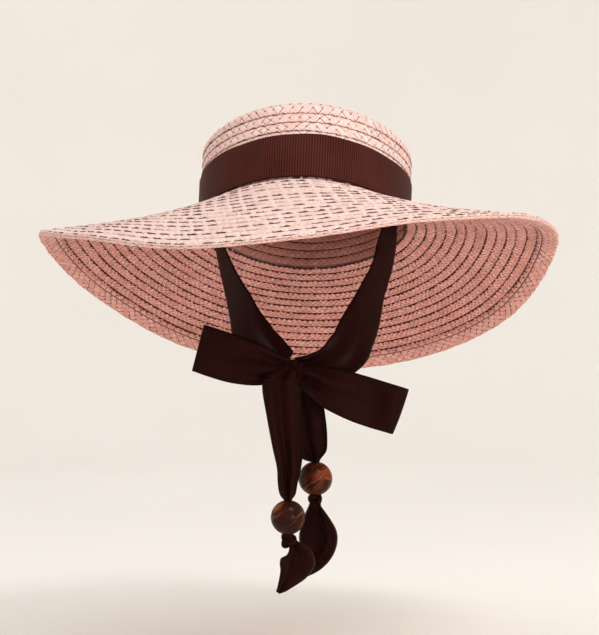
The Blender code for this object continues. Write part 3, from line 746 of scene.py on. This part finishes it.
def make_plait_effect():
    """Straws crossing on the slant: tone, painted shade in the slits and pits between them, height,
    fibre, glints.
    """
    group, w, source, sink = new_effect(
        "plaited_straw", {"Along": 0.0, "Across": 0.0, "Slant": 1.0},
        ("Tone", "Slit", "Grit", "Height", "Fibre", "Glint"))
    along, across = source["Along"], source["Across"]
    slant = w.times(across, source["Slant"])
    first, second = w.add(along, slant), w.less(along, slant)
    first_cell, second_cell = w.math("FLOOR", first), w.math("FLOOR", second)
    over = w.math("FLOORED_MODULO", w.add(first_cell, second_cell), 2.0)
    a, b = (w.times(w.math("ABSOLUTE", w.less(w.math("FRACT", value), 0.5)), 2.0)
            for value in (first, second))
    side, end = w.blend(over, b, a), w.blend(over, a, b)
    crossing = w.chance(w.join(first_cell, second_cell, 1.0))
    other = w.chance(w.join(second_cell, first_cell, 5.0))
    straw = w.blend(over, second_cell, first_cell)
    straw = w.chance(w.join(straw, over, w.math("FLOOR", across)))
    length, width = w.blend(over, first, second), w.blend(over, second, first)
    grit = w.noise(w.join(w.times(width, 5.0), w.times(length, 1.6), 7.0), rough=0.7)
    both = w.add(side, end)
    # Masks for painted shade in the holes and slits between straws.
    pit_shade = w.times(w.ramp(both, 1.50, 1.75), w.ramp(other, 0.10, 0.60))
    slit = w.times(w.ramp(side, 0.74, 0.93), w.ramp(crossing, 0.30, 0.80))
    rise = w.less(1.0, w.math("POWER", side, 3.0))
    centre = w.less(1.0, w.ramp(both, 0.25, 0.50))
    w.fill(sink, {
        "Tone": w.add(w.times(straw, 0.6), w.times(crossing, 0.4)),
        "Slit": w.math("MAXIMUM", slit, pit_shade),
        "Grit": w.ramp(grit, 0.56, 0.64),
        "Height": w.times(rise, w.less(1.0, w.times(w.math("POWER", end, 2.0), 0.5))),
        "Fibre": w.noise(w.join(w.times(width, 16.0), w.times(length, 3.0)), rough=0.6),
        "Glint": w.times(w.ramp(other, 0.95, 0.98), centre),
    })
    return group


def make_seam_shade_effect():
    """Painted shade along each row's proud lip and in the tuck beside it, whole or in dashes. Edge
    is 1 where the lip lies outward.
    """
    group, w, source, sink = new_effect("painted_seam_shade", {
        "Along": 0.0, "Across": 0.0, "Edge": 1.0, "Width": 0.08, "Tuck": 0.03, "Wave": 0.04,
        "Dash": 0.0,
    }, ("Seam",))
    along, across = source["Along"], source["Across"]
    part, row = w.math("FRACT", across), w.math("FLOOR", across)
    lip = w.blend(source["Edge"], part, w.less(1.0, part))
    wave = w.less(w.math("ABSOLUTE", w.math("COSINE", w.times(along, math.pi))), 0.5)
    blob = w.noise(w.join(w.times(along, 1.1), w.times(row, 5.3)), rough=0.7)
    wander = w.less(w.noise(w.join(w.times(along, 0.6), w.times(row, 3.1), 4.0)), 0.5)
    wave = w.times(w.add(w.times(wave, 0.6), w.times(wander, 2.0)), source["Wave"])
    width = w.times(source["Width"], w.add(0.10, w.times(blob, 1.8)))
    away = w.less(w.add(lip, wave), w.times(width, 0.7))
    line = w.less(1.0, w.ramp(away, 0.0, w.add(w.times(width, 0.3), 1e-4)))
    start, end = w.times(source["Tuck"], 0.5), w.add(source["Tuck"], 1e-4)
    tuck = w.less(1.0, w.ramp(w.less(1.0, lip), start, end))
    pillow = w.times(w.add(along, PILLOW_SLANT * LIP_PLACE), 1.0 / PLAITS_PER_PILLOW)
    middle = w.math("ABSOLUTE", w.less(w.times(w.math("FRACT", pillow), 2.0), 1.0))
    luck = w.chance(w.join(w.math("FLOOR", pillow), row, 2.0))
    dash = w.less(1.0, w.ramp(middle, w.less(0.72, w.times(luck, 0.3)), 0.84))
    dash = w.times(dash, w.ramp(luck, 0.05, 0.55))
    whole = w.math("MAXIMUM", line, tuck)
    w.put(sink["Seam"], w.blend(source["Dash"], whole, w.times(line, dash)))
    return group


def make_rib_effect():
    """Grosgrain: round ribs across the ribbon, fine warp threads over them, a woven selvedge, and a
    groove mask for painted shade.
    """
    group, w, source, sink = new_effect(
        "grosgrain_ribs", {"Along": 0.0, "Across": 0.0}, ("Height", "Groove", "Thread", "Selvedge"))
    along, across = source["Along"], source["Across"]
    rib = w.add(w.times(w.math("COSINE", w.times(along, 2.0 * math.pi)), 0.5), 0.5)
    thread = w.math("SINE", w.times(across, 2.0 * math.pi * WARP_THREADS))
    thread = w.add(w.times(thread, 0.5), 0.5)
    fuzz = w.noise(w.join(w.times(along, 2.0), w.times(across, 120.0)), rough=0.6)
    border = w.less(0.5, w.math("ABSOLUTE", w.less(across, 0.5)))
    selvedge = w.less(1.0, w.ramp(border, 0.012, 0.03))
    ribbed = w.times(w.math("SQRT", rib), w.less(1.0, w.times(selvedge, 0.6)))
    ribbed = w.add(ribbed, w.times(w.times(thread, rib), 0.18))
    w.fill(sink, {
        "Height": w.add(ribbed, w.times(fuzz, 0.12)),
        "Groove": w.less(1.0, w.ramp(rib, 0.0, 0.45)),
        "Thread": w.add(w.times(thread, 0.4), w.times(fuzz, 0.6)),
        "Selvedge": selvedge,
    })
    return group


PLAIT = make_plait_effect()
SEAM_SHADE = make_seam_shade_effect()
RIBS = make_rib_effect()


def new_material(name):
    material = bpy.data.materials.new(name)
    material.use_nodes = True
    return material, Wires(material.node_tree), material.node_tree.nodes["Principled BSDF"]


def weave_place(w):
    return w.split(w.node("ShaderNodeUVMap", {}, uv_map="weave"))


# Painted light: the edge braid's pale outer rim, paler than its shaded underside.
LIT_RIM_STRAW = (0.90, 0.58, 0.51)
GLINT = (0.95, 0.86, 0.82)
# Dark is the colour of the painted shade in seams, slits and pits, and also of the grit and the
# stitch line.
StrawLook = namedtuple("StrawLook", "pale deep dark slant slit grit edge seam tuck wave dash",
                       defaults=(0.0,) * 5)


def straw_material(name, look, soft_row=None, stitch_line=None, lit_rim=False):
    """Plaited straw. Soft row is a joint pressed flat, where the painted seam shade fades out. A
    thin stitch line and a pale rim of painted light cross it.
    """
    material, w, shader = new_material(name)
    along, across = weave_place(w)[:2]
    plait = w.effect(PLAIT, Along=along, Across=across, Slant=look.slant)
    # Painted shade along the rows' lips and tucks, from the seam effect.
    seam = 0.0
    if look.seam:
        seam = w.effect(SEAM_SHADE, Along=along, Across=across, Edge=look.edge, Width=look.seam,
                        Tuck=look.tuck, Wave=look.wave, Dash=look.dash)["Seam"]
    if soft_row:
        away = w.math("ABSOLUTE", w.less(across, soft_row))
        seam = w.times(seam, w.ramp(away, 0.35, 0.45))
    if stitch_line:
        sway = w.less(w.noise(w.join(w.times(along, 0.7), stitch_line * 9.0)), 0.5)
        away = w.math("ABSOLUTE", w.less(w.add(across, w.times(sway, 0.08)), stitch_line))
        seam = w.math("MAXIMUM", seam, w.less(1.0, w.ramp(away, 0.015, 0.045)))
    cloud = w.noise(w.join(w.times(along, 0.12), w.times(across, 0.5)), detail=3.0, rough=0.6)
    tone = w.add(w.times(plait["Tone"], 0.45), w.times(cloud, 0.55))
    tone = w.add(tone, w.times(w.less(plait["Fibre"], 0.5), 0.9))
    dark = (*look.dark, 1.0)
    colour = w.mix(w.ramp(tone, 0.12, 0.88), (*look.deep, 1.0), (*look.pale, 1.0))
    # Painted light on the braid's top and outer rim.
    if lit_rim:
        colour = w.mix(w.ramp(across, -0.12, 0.06), (*LIT_RIM_STRAW, 1.0), colour)
    # Painted shade in the slits and pits between the straws, in the dark colour.
    colour = w.mix(w.times(plait["Slit"], look.slit), colour, dark)
    colour = w.mix(w.times(plait["Grit"], look.grit), colour, dark)
    # The seams' painted shade, together with the edge braid's stitch line, takes the dark colour.
    colour = w.mix(seam, colour, dark)
    height = w.add(plait["Height"], w.times(plait["Fibre"], 0.35))
    hollow = w.math("MAXIMUM", seam, w.times(plait["Slit"], 0.7))
    w.fill(shader.inputs, {
        "Base Color": w.mix(w.times(plait["Glint"], 0.6), colour, (*GLINT, 1.0)),
        "Roughness": w.blend(plait["Fibre"], 0.45, 0.70),
        "Normal": w.bump(w.less(height, w.times(hollow, 1.2)), 0.6, 0.0005),
        "Specular IOR Level": 0.35,
    })
    return material


def ribbon_material(name, dark, light, edge):
    material, w, shader = new_material(name)
    along, across = weave_place(w)[:2]
    rib = w.effect(RIBS, Along=along, Across=across)
    worn = w.noise(w.join(w.times(along, 0.05), across))
    # Painted shade darkens the grooves between the ribs; threads and a slow noise vary the tone.
    shade = w.add(w.times(rib["Thread"], 0.35), w.times(w.less(1.0, rib["Groove"]), 0.45))
    shade = w.add(shade, w.times(w.less(worn, 0.4), 0.5))
    colour = w.mix(shade, (*dark, 1.0), (*light, 1.0))
    w.fill(shader.inputs, {
        "Base Color": w.mix(rib["Selvedge"], colour, (*edge, 1.0)),
        "Roughness": w.blend(rib["Groove"], 0.45, 0.75),
        "Normal": w.bump(rib["Height"], 0.5, 0.00035),
        "Sheen Weight": 0.006,
        "Sheen Roughness": 0.4,
        "Sheen Tint": (0.75, 0.42, 0.40, 1.0),
        "Specular IOR Level": 0.05,
        "Specular Tint": (1.0, 0.62, 0.56, 1.0),
    })
    return material


def bead_material(name):
    """Lacquered wood with slanting grain."""
    material, w, shader = new_material(name)
    x, y, z = w.split(w.node("ShaderNodeTexCoord", {}, output="Object"))
    level = w.add(z, w.times(x, -0.7))
    warp = w.noise(w.join(w.times(x, 45.0), w.times(y, 45.0), w.times(level, 90.0)))
    flow = w.add(w.times(level, 190.0), w.times(warp, 3.5))
    grain = w.noise(w.join(w.times(x, 30.0), w.times(y, 30.0), flow), detail=4.0, rough=0.6)
    pores = w.noise(w.join(w.times(x, 180.0), w.times(y, 180.0), w.times(level, 1900.0)))
    share = w.add(w.ramp(grain, 0.46, 0.70), w.times(w.less(pores, 0.5), 0.7))
    w.fill(shader.inputs, {
        "Base Color": w.mix(share, (0.016, 0.004, 0.002, 1.0), (0.25, 0.050, 0.014, 1.0)),
        "Roughness": w.blend(pores, 0.28, 0.42),
        "Normal": w.bump(pores, 0.08, 0.0002),
        "Coat Weight": 0.3,
        "Coat Roughness": 0.04,
        "Coat IOR": 1.25,
        "Specular IOR Level": 0.05,
    })
    return material


# One straw in lit and shaded copies, painted light and shade: palest on the brim's top, a little
# darker on the crown, darker and redder under the brim and on the edge braid, darkest inside the
# crown.
brim_straw = straw_material("straw_brim_top", StrawLook(
    pale=(0.95, 0.75, 0.70), deep=(0.81, 0.54, 0.49), dark=(0.07, 0.021, 0.014), slant=1.0,
    slit=0.30, grit=0.34, edge=1.0, seam=0.11, tuck=0.02, wave=0.02, dash=0.92))
under_straw = straw_material("straw_underside", StrawLook(
    pale=(0.93, 0.455, 0.385), deep=(0.60, 0.23, 0.185), dark=(0.06, 0.005, 0.003), slant=1.5,
    slit=1.0, grit=0.90, seam=0.115, tuck=0.035, wave=0.14))
crown_straw = straw_material("straw_crown", StrawLook(
    pale=(0.93, 0.70, 0.66), deep=(0.80, 0.50, 0.45), dark=(0.07, 0.014, 0.010), slant=1.0,
    slit=0.95, grit=0.25, seam=0.075, tuck=0.03, wave=0.08, dash=0.40),
    soft_row=CROWN_PLAIT_ROWS - TIP_PLAIT_ROWS - 0.90)
inner_straw = straw_material("straw_inside", StrawLook(
    pale=(0.70, 0.335, 0.275), deep=(0.54, 0.22, 0.175), dark=(0.045, 0.004, 0.003), slant=1.5,
    slit=0.6, grit=0.3, edge=1.0, seam=0.13, tuck=0.03, wave=0.05))
edge_straw = straw_material("straw_edge_braid", StrawLook(
    pale=(0.88, 0.46, 0.39), deep=(0.64, 0.28, 0.235), dark=(0.060, 0.006, 0.004), slant=2.1,
    slit=1.0, grit=0.45), stitch_line=0.82, lit_rim=True)
# One ribbon in lit and shaded copies: the band's lighter colours are painted light above the brim,
# and the ties' darker ones are painted shade under it.
TIE_DARK, TIE_LIGHT = (0.002, 0.0006, 0.0005), (0.026, 0.0060, 0.0048)
band_grosgrain = ribbon_material(
    "band_grosgrain", (0.008, 0.002, 0.0015), (0.100, 0.026, 0.019), (0.03, 0.01, 0.008))
tie_grosgrain = ribbon_material("tie_grosgrain", TIE_DARK, TIE_LIGHT, (0.004, 0.0015, 0.0012))
# The tips' pale edge colour is a painted highlight along their curled selvedges.
tip_grosgrain = ribbon_material("tip_grosgrain", TIE_DARK, TIE_LIGHT, (0.07, 0.035, 0.028))
bead_wood = bead_material("lacquered_bead_wood")


# Straw pieces


def underside(azimuth, share):
    return brim_below(azimuth, share, STRAW_WALL)


def underside_root(azimuth):
    return brim_surface(azimuth, 0.0)


def crown_inside(azimuth, share):
    return crown_surface(azimuth, share, STRAW_WALL)


def crown_root(azimuth):
    """The crown's lowest edge, down to the brim that is sewn to it."""
    return wall_point(azimuth, -STRAW_WALL * np.tan(brim_values(azimuth)[1]) - 0.0006, 0.0)


finish_piece(sewn_rows(
    "brim_rows_top", brim_surface, BRIM_PLAIT_ROWS, TOP_ROWS, brim_straw, lip_out=True,
    side=-1.0, section=PILLOW_SHINGLE, rim=rim_edge), "straw", "brim")
finish_piece(sewn_rows(
    "brim_rows_underside", underside, BRIM_PLAIT_ROWS, UNDER_ROWS, under_straw, lip_out=False,
    side=1.0, root=underside_root), "straw", "brim")
finish_piece(sewn_rows(
    "crown_rows", crown_surface, CROWN_PLAIT_ROWS, CROWN_ROWS, crown_straw, lip_out=False,
    side=1.0, root=crown_root), "straw", "crown")
finish_piece(sewn_rows(
    "crown_rows_inside", crown_inside, CROWN_PLAIT_ROWS, INNER_ROWS, inner_straw, lip_out=True,
    side=-1.0, section=COARSE_SHINGLE), "straw", "crown")

# Edge braid: points round it, and places of its middle crease and its stitches across it
EDGE_AROUND = 1700
EDGE_MIDDLE = 0.45
EDGE_STITCH = 0.80


def edge_braid(name, material):
    """Broad plait sewn flat under the rim, its straws in chevrons and its outer edge scalloped."""
    azimuth = math.pi + full_turn(EDGE_AROUND)
    travel, whole = travel_round(brim_surface(azimuth, 1.0))
    along = np.vstack([travel / whole, [[1.0]]]) * np.round(whole / EDGE_PLAIT_LENGTH)
    here = along[:-1]
    below = np.linspace(0.0, 1.0, 15)
    # The section runs over the top to the rim, down the outer wall, back underneath and up again
    across = np.concatenate([[1.0, 0.5, 0.0], [-0.03, -0.045, -0.03], below, [1.02, 1.02, 1.0]])
    wound = np.concatenate([[-0.5, -0.5, -0.5], [-0.36, -0.24, -0.10], below, [1.05, 1.10, 1.15]])
    thins = 1.0 - 0.5 * np.clip((below - 0.7) / 0.3, 0.0, 1.0)
    depth = np.concatenate([[0.0, 0.0, 0.0], [0.25, 0.5, 0.8], thins, [0.4, 0.2, 0.0]])
    face = np.concatenate([[0.0] * 6, np.sin(math.pi * below) ** 0.3, [0.0] * 3])
    outer = np.clip(1.0 - across / 0.25, 0.0, 1.2)
    straw = here + 2.2 * np.abs(across - EDGE_MIDDLE)
    back = 1.0 - np.abs(2.0 * (straw - np.floor(straw)) - 1.0) ** 2.5
    groove = 0.8 * np.exp(-((across - EDGE_STITCH) / 0.03) ** 2)
    groove = groove + 0.5 * np.exp(-((across - EDGE_MIDDLE) / 0.05) ** 2)
    uneven = 0.0003 * np.sin(here * 2.1) * np.sin(here * 0.37)
    scallop = (np.abs(np.sin(math.pi * here)) - 0.6) * 0.0006 + 0.0004 + uneven
    share = 1.0 - (across * EDGE_BRAID_WIDTH - outer * scallop) / brim_values(azimuth)[0]
    down = STRAW_WALL + GAP + (depth * EDGE_BRAID_THICKNESS - 0.0002)
    down = down + face * (0.0008 * back - 0.0005 * groove - 0.0001)
    points = upright_to_world(brim_below(azimuth, share, down))
    return grid_object(name, points, stacked(along, wound), material, wraps=True)


finish_piece(edge_braid("edge_braid_plait", edge_straw), "straw", "edge_braid")


# Ribbon round the crown

# Section of the band: down its outer face, back up the inner one, and round to the start
BandPoint = namedtuple("BandPoint", "height out")
BAND_OUTER = rows_of(
    BandPoint,
    (1.0, 0.75), (0.97, 1.0), (0.8, 1.0), (0.6, 1.0), (0.4, 1.0), (0.2, 1.0), (0.03, 1.0),
    (0.0, 0.75),
)
BAND_INNER = tuple(BandPoint(point.height, 1.0 - point.out) for point in reversed(BAND_OUTER))
BAND_SECTION = BAND_OUTER + BAND_INNER + BAND_OUTER[:1]
STEPS_PER_RIB = 6
FULL_TURN = 2.0 * math.pi
LAP_INSIDE = GAP + RIBBON_THICKNESS + RIB_HEIGHT
LAP_THICKNESS = 0.0005
LAP_SWEEP = LAP_LENGTH / (CROWN_LENGTH / 2)
LAP_PLEATS = (0.0006, 3.0)


def band_ribbon(name, start, sweep, inside, thickness=RIBBON_THICKNESS, pleats=None):
    """Ribbon that follows the crown's wall. Pleats give height and count of soft upright folds."""
    fine = start + np.linspace(0.0, sweep, 4001)
    travel = path_lengths(wall_point(fine, BAND_LIFT, inside))
    ribs = round(travel[-1] / RIB_PITCH)
    places = np.linspace(0.0, travel[-1], ribs * STEPS_PER_RIB + 1)
    azimuth = np.interp(places, travel, fine)[:, None]
    along = (places / travel[-1] * ribs)[:, None]
    heights, outs = np.array(BAND_SECTION).T[:, None, :]
    sway = 0.0003 * np.sin(azimuth * 5.0 + 1.0) + 0.0002 * np.sin(azimuth * 13.0)
    out = inside + outs * thickness + (outs > 0.99) * RIB_HEIGHT * cosine(along) * 0.5
    if pleats:
        share = along / ribs
        lift, count = pleats
        fold = lift * np.sin(math.pi * share) * (0.5 + 0.5 * cosine(count * share))
        out = out + fold * (0.7 + 0.3 * heights)
    meets = -0.8 * STRAW_WALL * np.tan(brim_values(azimuth)[1])
    height = BAND_LIFT + BAND_WIDTH * heights + sway * heights
    height = height + meets * np.clip(1.0 - heights / 0.1, 0.0, 1.0)
    points, weave = upright_to_world(wall_point(azimuth, height, out)), stacked(along, heights)
    if sweep == FULL_TURN:
        return grid_object(name, points[:-1], weave, band_grosgrain, wraps=True)
    return grid_object(name, points, weave, band_grosgrain, capped=True)


band = finish_piece(band_ribbon("hat_band_ribbon", math.pi, FULL_TURN, GAP), "ribbon", "hat_band")
lap = band_ribbon("hat_band_lap", LAP_START, LAP_SWEEP, LAP_INSIDE, LAP_THICKNESS, LAP_PLEATS)
finish_piece(lap, "ribbon", "hat_band_end")


# Ties, bow and hanging ends

TIE_FOLDS = FoldLook(2.0, 0.0032, 0.6, 0.0)
LOOP_FOLDS = FoldLook(2.0, 0.0032, 0.2, 0.0)
TAIL_FOLDS = FoldLook(2.0, 0.0022, 0.4, 0.6)
TIP_FOLDS = FoldLook(1.5, 0.0026, 0.9, 3.0)


def make_ribbon(name, path, folds, node, material=tie_grosgrain):
    """Ribbon along a path."""
    piece = finish_piece(ribbon_piece(name, *path, folds, material), "ribbon", node)


make_ribbon("strap_left_ribbon", tie_path(TIE_ROWS_LEFT, -1), TIE_FOLDS, "strap_left")
make_ribbon("strap_right_ribbon", tie_path(TIE_ROWS_RIGHT, 1), TIE_FOLDS, "strap_right")


KNOT_RIBS = 30.0
BEAD_KNOT_RIBS = 40.0


def full_weave(around):
    return np.linspace(0.0, 1.0, around + 1)[:, None]


def spun(points, tilt, centre):
    return points @ np.array(Matrix.Rotation(tilt, 3, "Y")).T + centre


def wrapped_knot(name, centre, tilt):
    """Ribbon wrapped once over the roots of the loops, drawn into creases along its length."""
    around, steps = 180, 56
    turn = full_turn(around)
    share = np.linspace(-1.0, 1.0, steps + 1)[None, :]
    barrel = (1.0 - np.abs(share) ** 3.0) ** 0.5
    crease = np.cos(2.0 * math.pi * 2.3 * share + 0.9 * np.sin(turn) + 0.5) * 0.5 + 0.5
    girth = barrel * (0.94 + 0.09 * crease) + 0.003 * np.cos(turn * 34.0) * barrel
    slide = 0.08 * np.sin(turn + 0.6)
    points = stacked(
        KNOT_WIDTH / 2 * (share + slide * barrel), KNOT_DEPTH / 2 * girth * np.cos(turn),
        KNOT_HEIGHT / 2 * girth * np.sin(turn))
    weave = stacked(KNOT_RIBS * full_weave(around), (share + 1.0) / 2.0)
    return grid_object(name, spun(points, tilt, centre), weave, tie_grosgrain, wraps=True)


def tied_knot(name, centre, size, tilt):
    """Overhand knot of a bunched ribbon, a closed creased cord that crosses itself three times."""
    around, sides, radius = 200, 24, 0.0021
    turn = full_turn(around)
    half = (np.array(size) / 2.0 - radius) / np.array([2.6, 1.0, 2.75])
    line = np.concatenate([
        np.sin(turn) + 2.0 * np.sin(2.0 * turn), -np.sin(3.0 * turn),
        np.cos(turn) - 2.0 * np.cos(2.0 * turn),
    ], axis=1) * half
    along = unit(np.roll(line, -1, 0) - np.roll(line, 1, 0))
    side = unit(np.cross(along, np.array([0.0, 1.0, 0.0])))
    face = np.cross(along, side)
    ring = np.linspace(0.0, 2.0 * math.pi, sides + 1)[None, :]
    thick = radius * (1.0 + 0.13 * np.cos(5.0 * ring + 2.0 * turn) + 0.03 * np.cos(40.0 * turn))
    out = side[:, None] * np.cos(ring)[..., None] + face[:, None] * np.sin(ring)[..., None]
    points = spun(line[:, None] + out * thick[..., None], tilt, centre)
    weave = stacked(BEAD_KNOT_RIBS * full_weave(around), np.linspace(0.1, 0.9, sides + 1))
    return grid_object(name, points, weave, tie_grosgrain, wraps=True, flip=True)


def revolved(name, profile, around, centre, material, flip=False):
    """Surface turned about an upright line through the centre, from reaches and heights."""
    reach, height = np.array(profile).T
    turn = full_turn(around)
    points = stacked(reach * np.cos(turn), reach * np.sin(turn), height) + centre
    weave = np.zeros((around + 1, len(profile), 2))
    return grid_object(name, points, weave, material, wraps=True, flip=flip)


def turned_bead(name, centre):
    """Round bead turned about its bore, with eased rims at the bore's mouths."""
    radius, bore, ease = BEAD_DIAMETER / 2, BEAD_BORE / 2, 0.0009
    mouth = math.asin((bore + ease) / radius)
    polar = np.linspace(mouth, math.pi - mouth, 41)
    profile = [(radius * math.sin(angle), radius * math.cos(angle)) for angle in polar]
    top = radius * math.cos(mouth)
    eased = [(bore + ease * (1.0 - math.sin(angle)), top - ease * (1.0 - math.cos(angle)) * 0.8)
             for angle in np.linspace(0.3, math.pi / 2, 5)]
    inner = [(bore, height) for height in np.linspace(-top + 2.0 * ease, top - 2.0 * ease, 6)]
    lower = [(reach, -height) for reach, height in eased]
    loop = profile + lower + inner + eased[::-1] + profile[:1]
    return revolved(name, loop, 72, centre, bead_wood, flip=True)


wrap = wrapped_knot("bow_knot_wrap", KNOT, (LOOP_SLANT_LEFT + LOOP_SLANT_RIGHT) / 2)
finish_piece(wrap, "ribbon", "bow_knot")
make_ribbon("bow_loop_left_ribbon", loop_path(LOOP_ROWS_LEFT, LOOP_REACH_LEFT, LOOP_SLANT_LEFT, -1),
            LOOP_FOLDS, "bow_loop_left")
make_ribbon("bow_loop_right_ribbon",
            loop_path(LOOP_ROWS_RIGHT, LOOP_REACH_RIGHT, LOOP_SLANT_RIGHT, 1),
            LOOP_FOLDS, "bow_loop_right")
for side, rows, length, tip_rows, tip_length, knot_size, tilt in (
    ("left", TAIL_ROWS_LEFT, TAIL_LENGTH_LEFT, TIP_ROWS_LEFT, TIP_LENGTH_LEFT, KNOT_SIZE_LEFT, 0.5),
    ("right", TAIL_ROWS_RIGHT, TAIL_LENGTH_RIGHT, TIP_ROWS_RIGHT, TIP_LENGTH_RIGHT, KNOT_SIZE_RIGHT,
     -0.2),
):
    path = tail_path(rows, length)
    bead = path[0][-1] + np.array([0.0, 0.0, BEAD_DIAMETER / 2])
    held = bead_knot_centre(bead)
    wood = finish_piece(turned_bead("bead_%s_turned" % side, bead), "bead_wood", "bead_" + side)
    tied = tied_knot("bead_knot_%s_tied" % side, held, knot_size, tilt)
    finish_piece(tied, "ribbon", "bead_knot_" + side)
    make_ribbon("tail_%s_ribbon" % side, path, TAIL_FOLDS, "tail_" + side)
    make_ribbon("tip_%s_ribbon" % side, tip_path(tip_rows, tip_length, held), TIP_FOLDS,
                "tip_" + side, material=tip_grosgrain)


# Floor, light and camera

FLOOR_LEVEL = -0.42
FLOOR_FLAT = 1.8
WALL_CURVE = 1.2
WALL_TOP = 3.2


def studio_floor():
    """Pale floor that sweeps up into a wall all round."""
    bend = [(FLOOR_FLAT + WALL_CURVE * math.sin(angle), WALL_CURVE * (1.0 - math.cos(angle)))
            for angle in np.linspace(0.0, math.pi / 2, 10)]
    profile = [(0.0, 0.0), (0.9, 0.0), *bend, (FLOOR_FLAT + WALL_CURVE, WALL_TOP)]
    material, w, shader = new_material("pale_plaster")
    cloud = w.noise(w.node("ShaderNodeTexCoord", {}, output="Object"), scale=1.3, detail=4.0)
    pale = w.mix(w.ramp(cloud, 0.3, 0.7), (0.89, 0.865, 0.83, 1.0), (0.92, 0.895, 0.86, 1.0))
    w.fill(shader.inputs, {"Base Color": pale, "Roughness": w.blend(cloud, 0.85, 0.95)})
    revolved("studio_floor", profile, 96, (0.0, 0.0, FLOOR_LEVEL), material)


def soft_light(name, place, aim, size, power, colour):
    data = bpy.data.lights.new(name, "AREA")
    data.shape, data.size, data.energy, data.color = "DISK", size, power, colour
    lamp = bpy.data.objects.new(name, data)
    lamp.location = place
    lamp.rotation_euler = (Vector(aim) - Vector(place)).to_track_quat("-Z", "Y").to_euler()
    bpy.context.collection.objects.link(lamp)


studio_floor()
soft_light("key_light", (0.7, -1.1, 1.7), (0.0, 0.0, -0.1), 0.8, 16.0, (1.0, 0.96, 0.92))
soft_light("front_fill", (1.2, -1.9, -0.1), (0.0, 0.0, -0.2), 0.8, 13.0, (1.0, 0.97, 0.94))
air = bpy.data.worlds.new("studio_air")
air.use_nodes = True
air.node_tree.nodes["Background"].inputs["Color"].default_value = (1.0, 0.985, 0.965, 1.0)
air.node_tree.nodes["Background"].inputs["Strength"].default_value = 0.95
bpy.context.scene.world = air
bpy.context.scene.view_settings.view_transform = "Standard"

camera = bpy.data.objects.new("camera", bpy.data.cameras.new("camera"))
camera.data.lens = 93.94
camera.data.sensor_width = 36.0
camera.location = (-0.0069, -1.4213, -0.1419)
camera.rotation_euler = (math.pi / 2, 0.0, 0.0)
bpy.context.collection.objects.link(camera)
bpy.context.scene.camera = camera
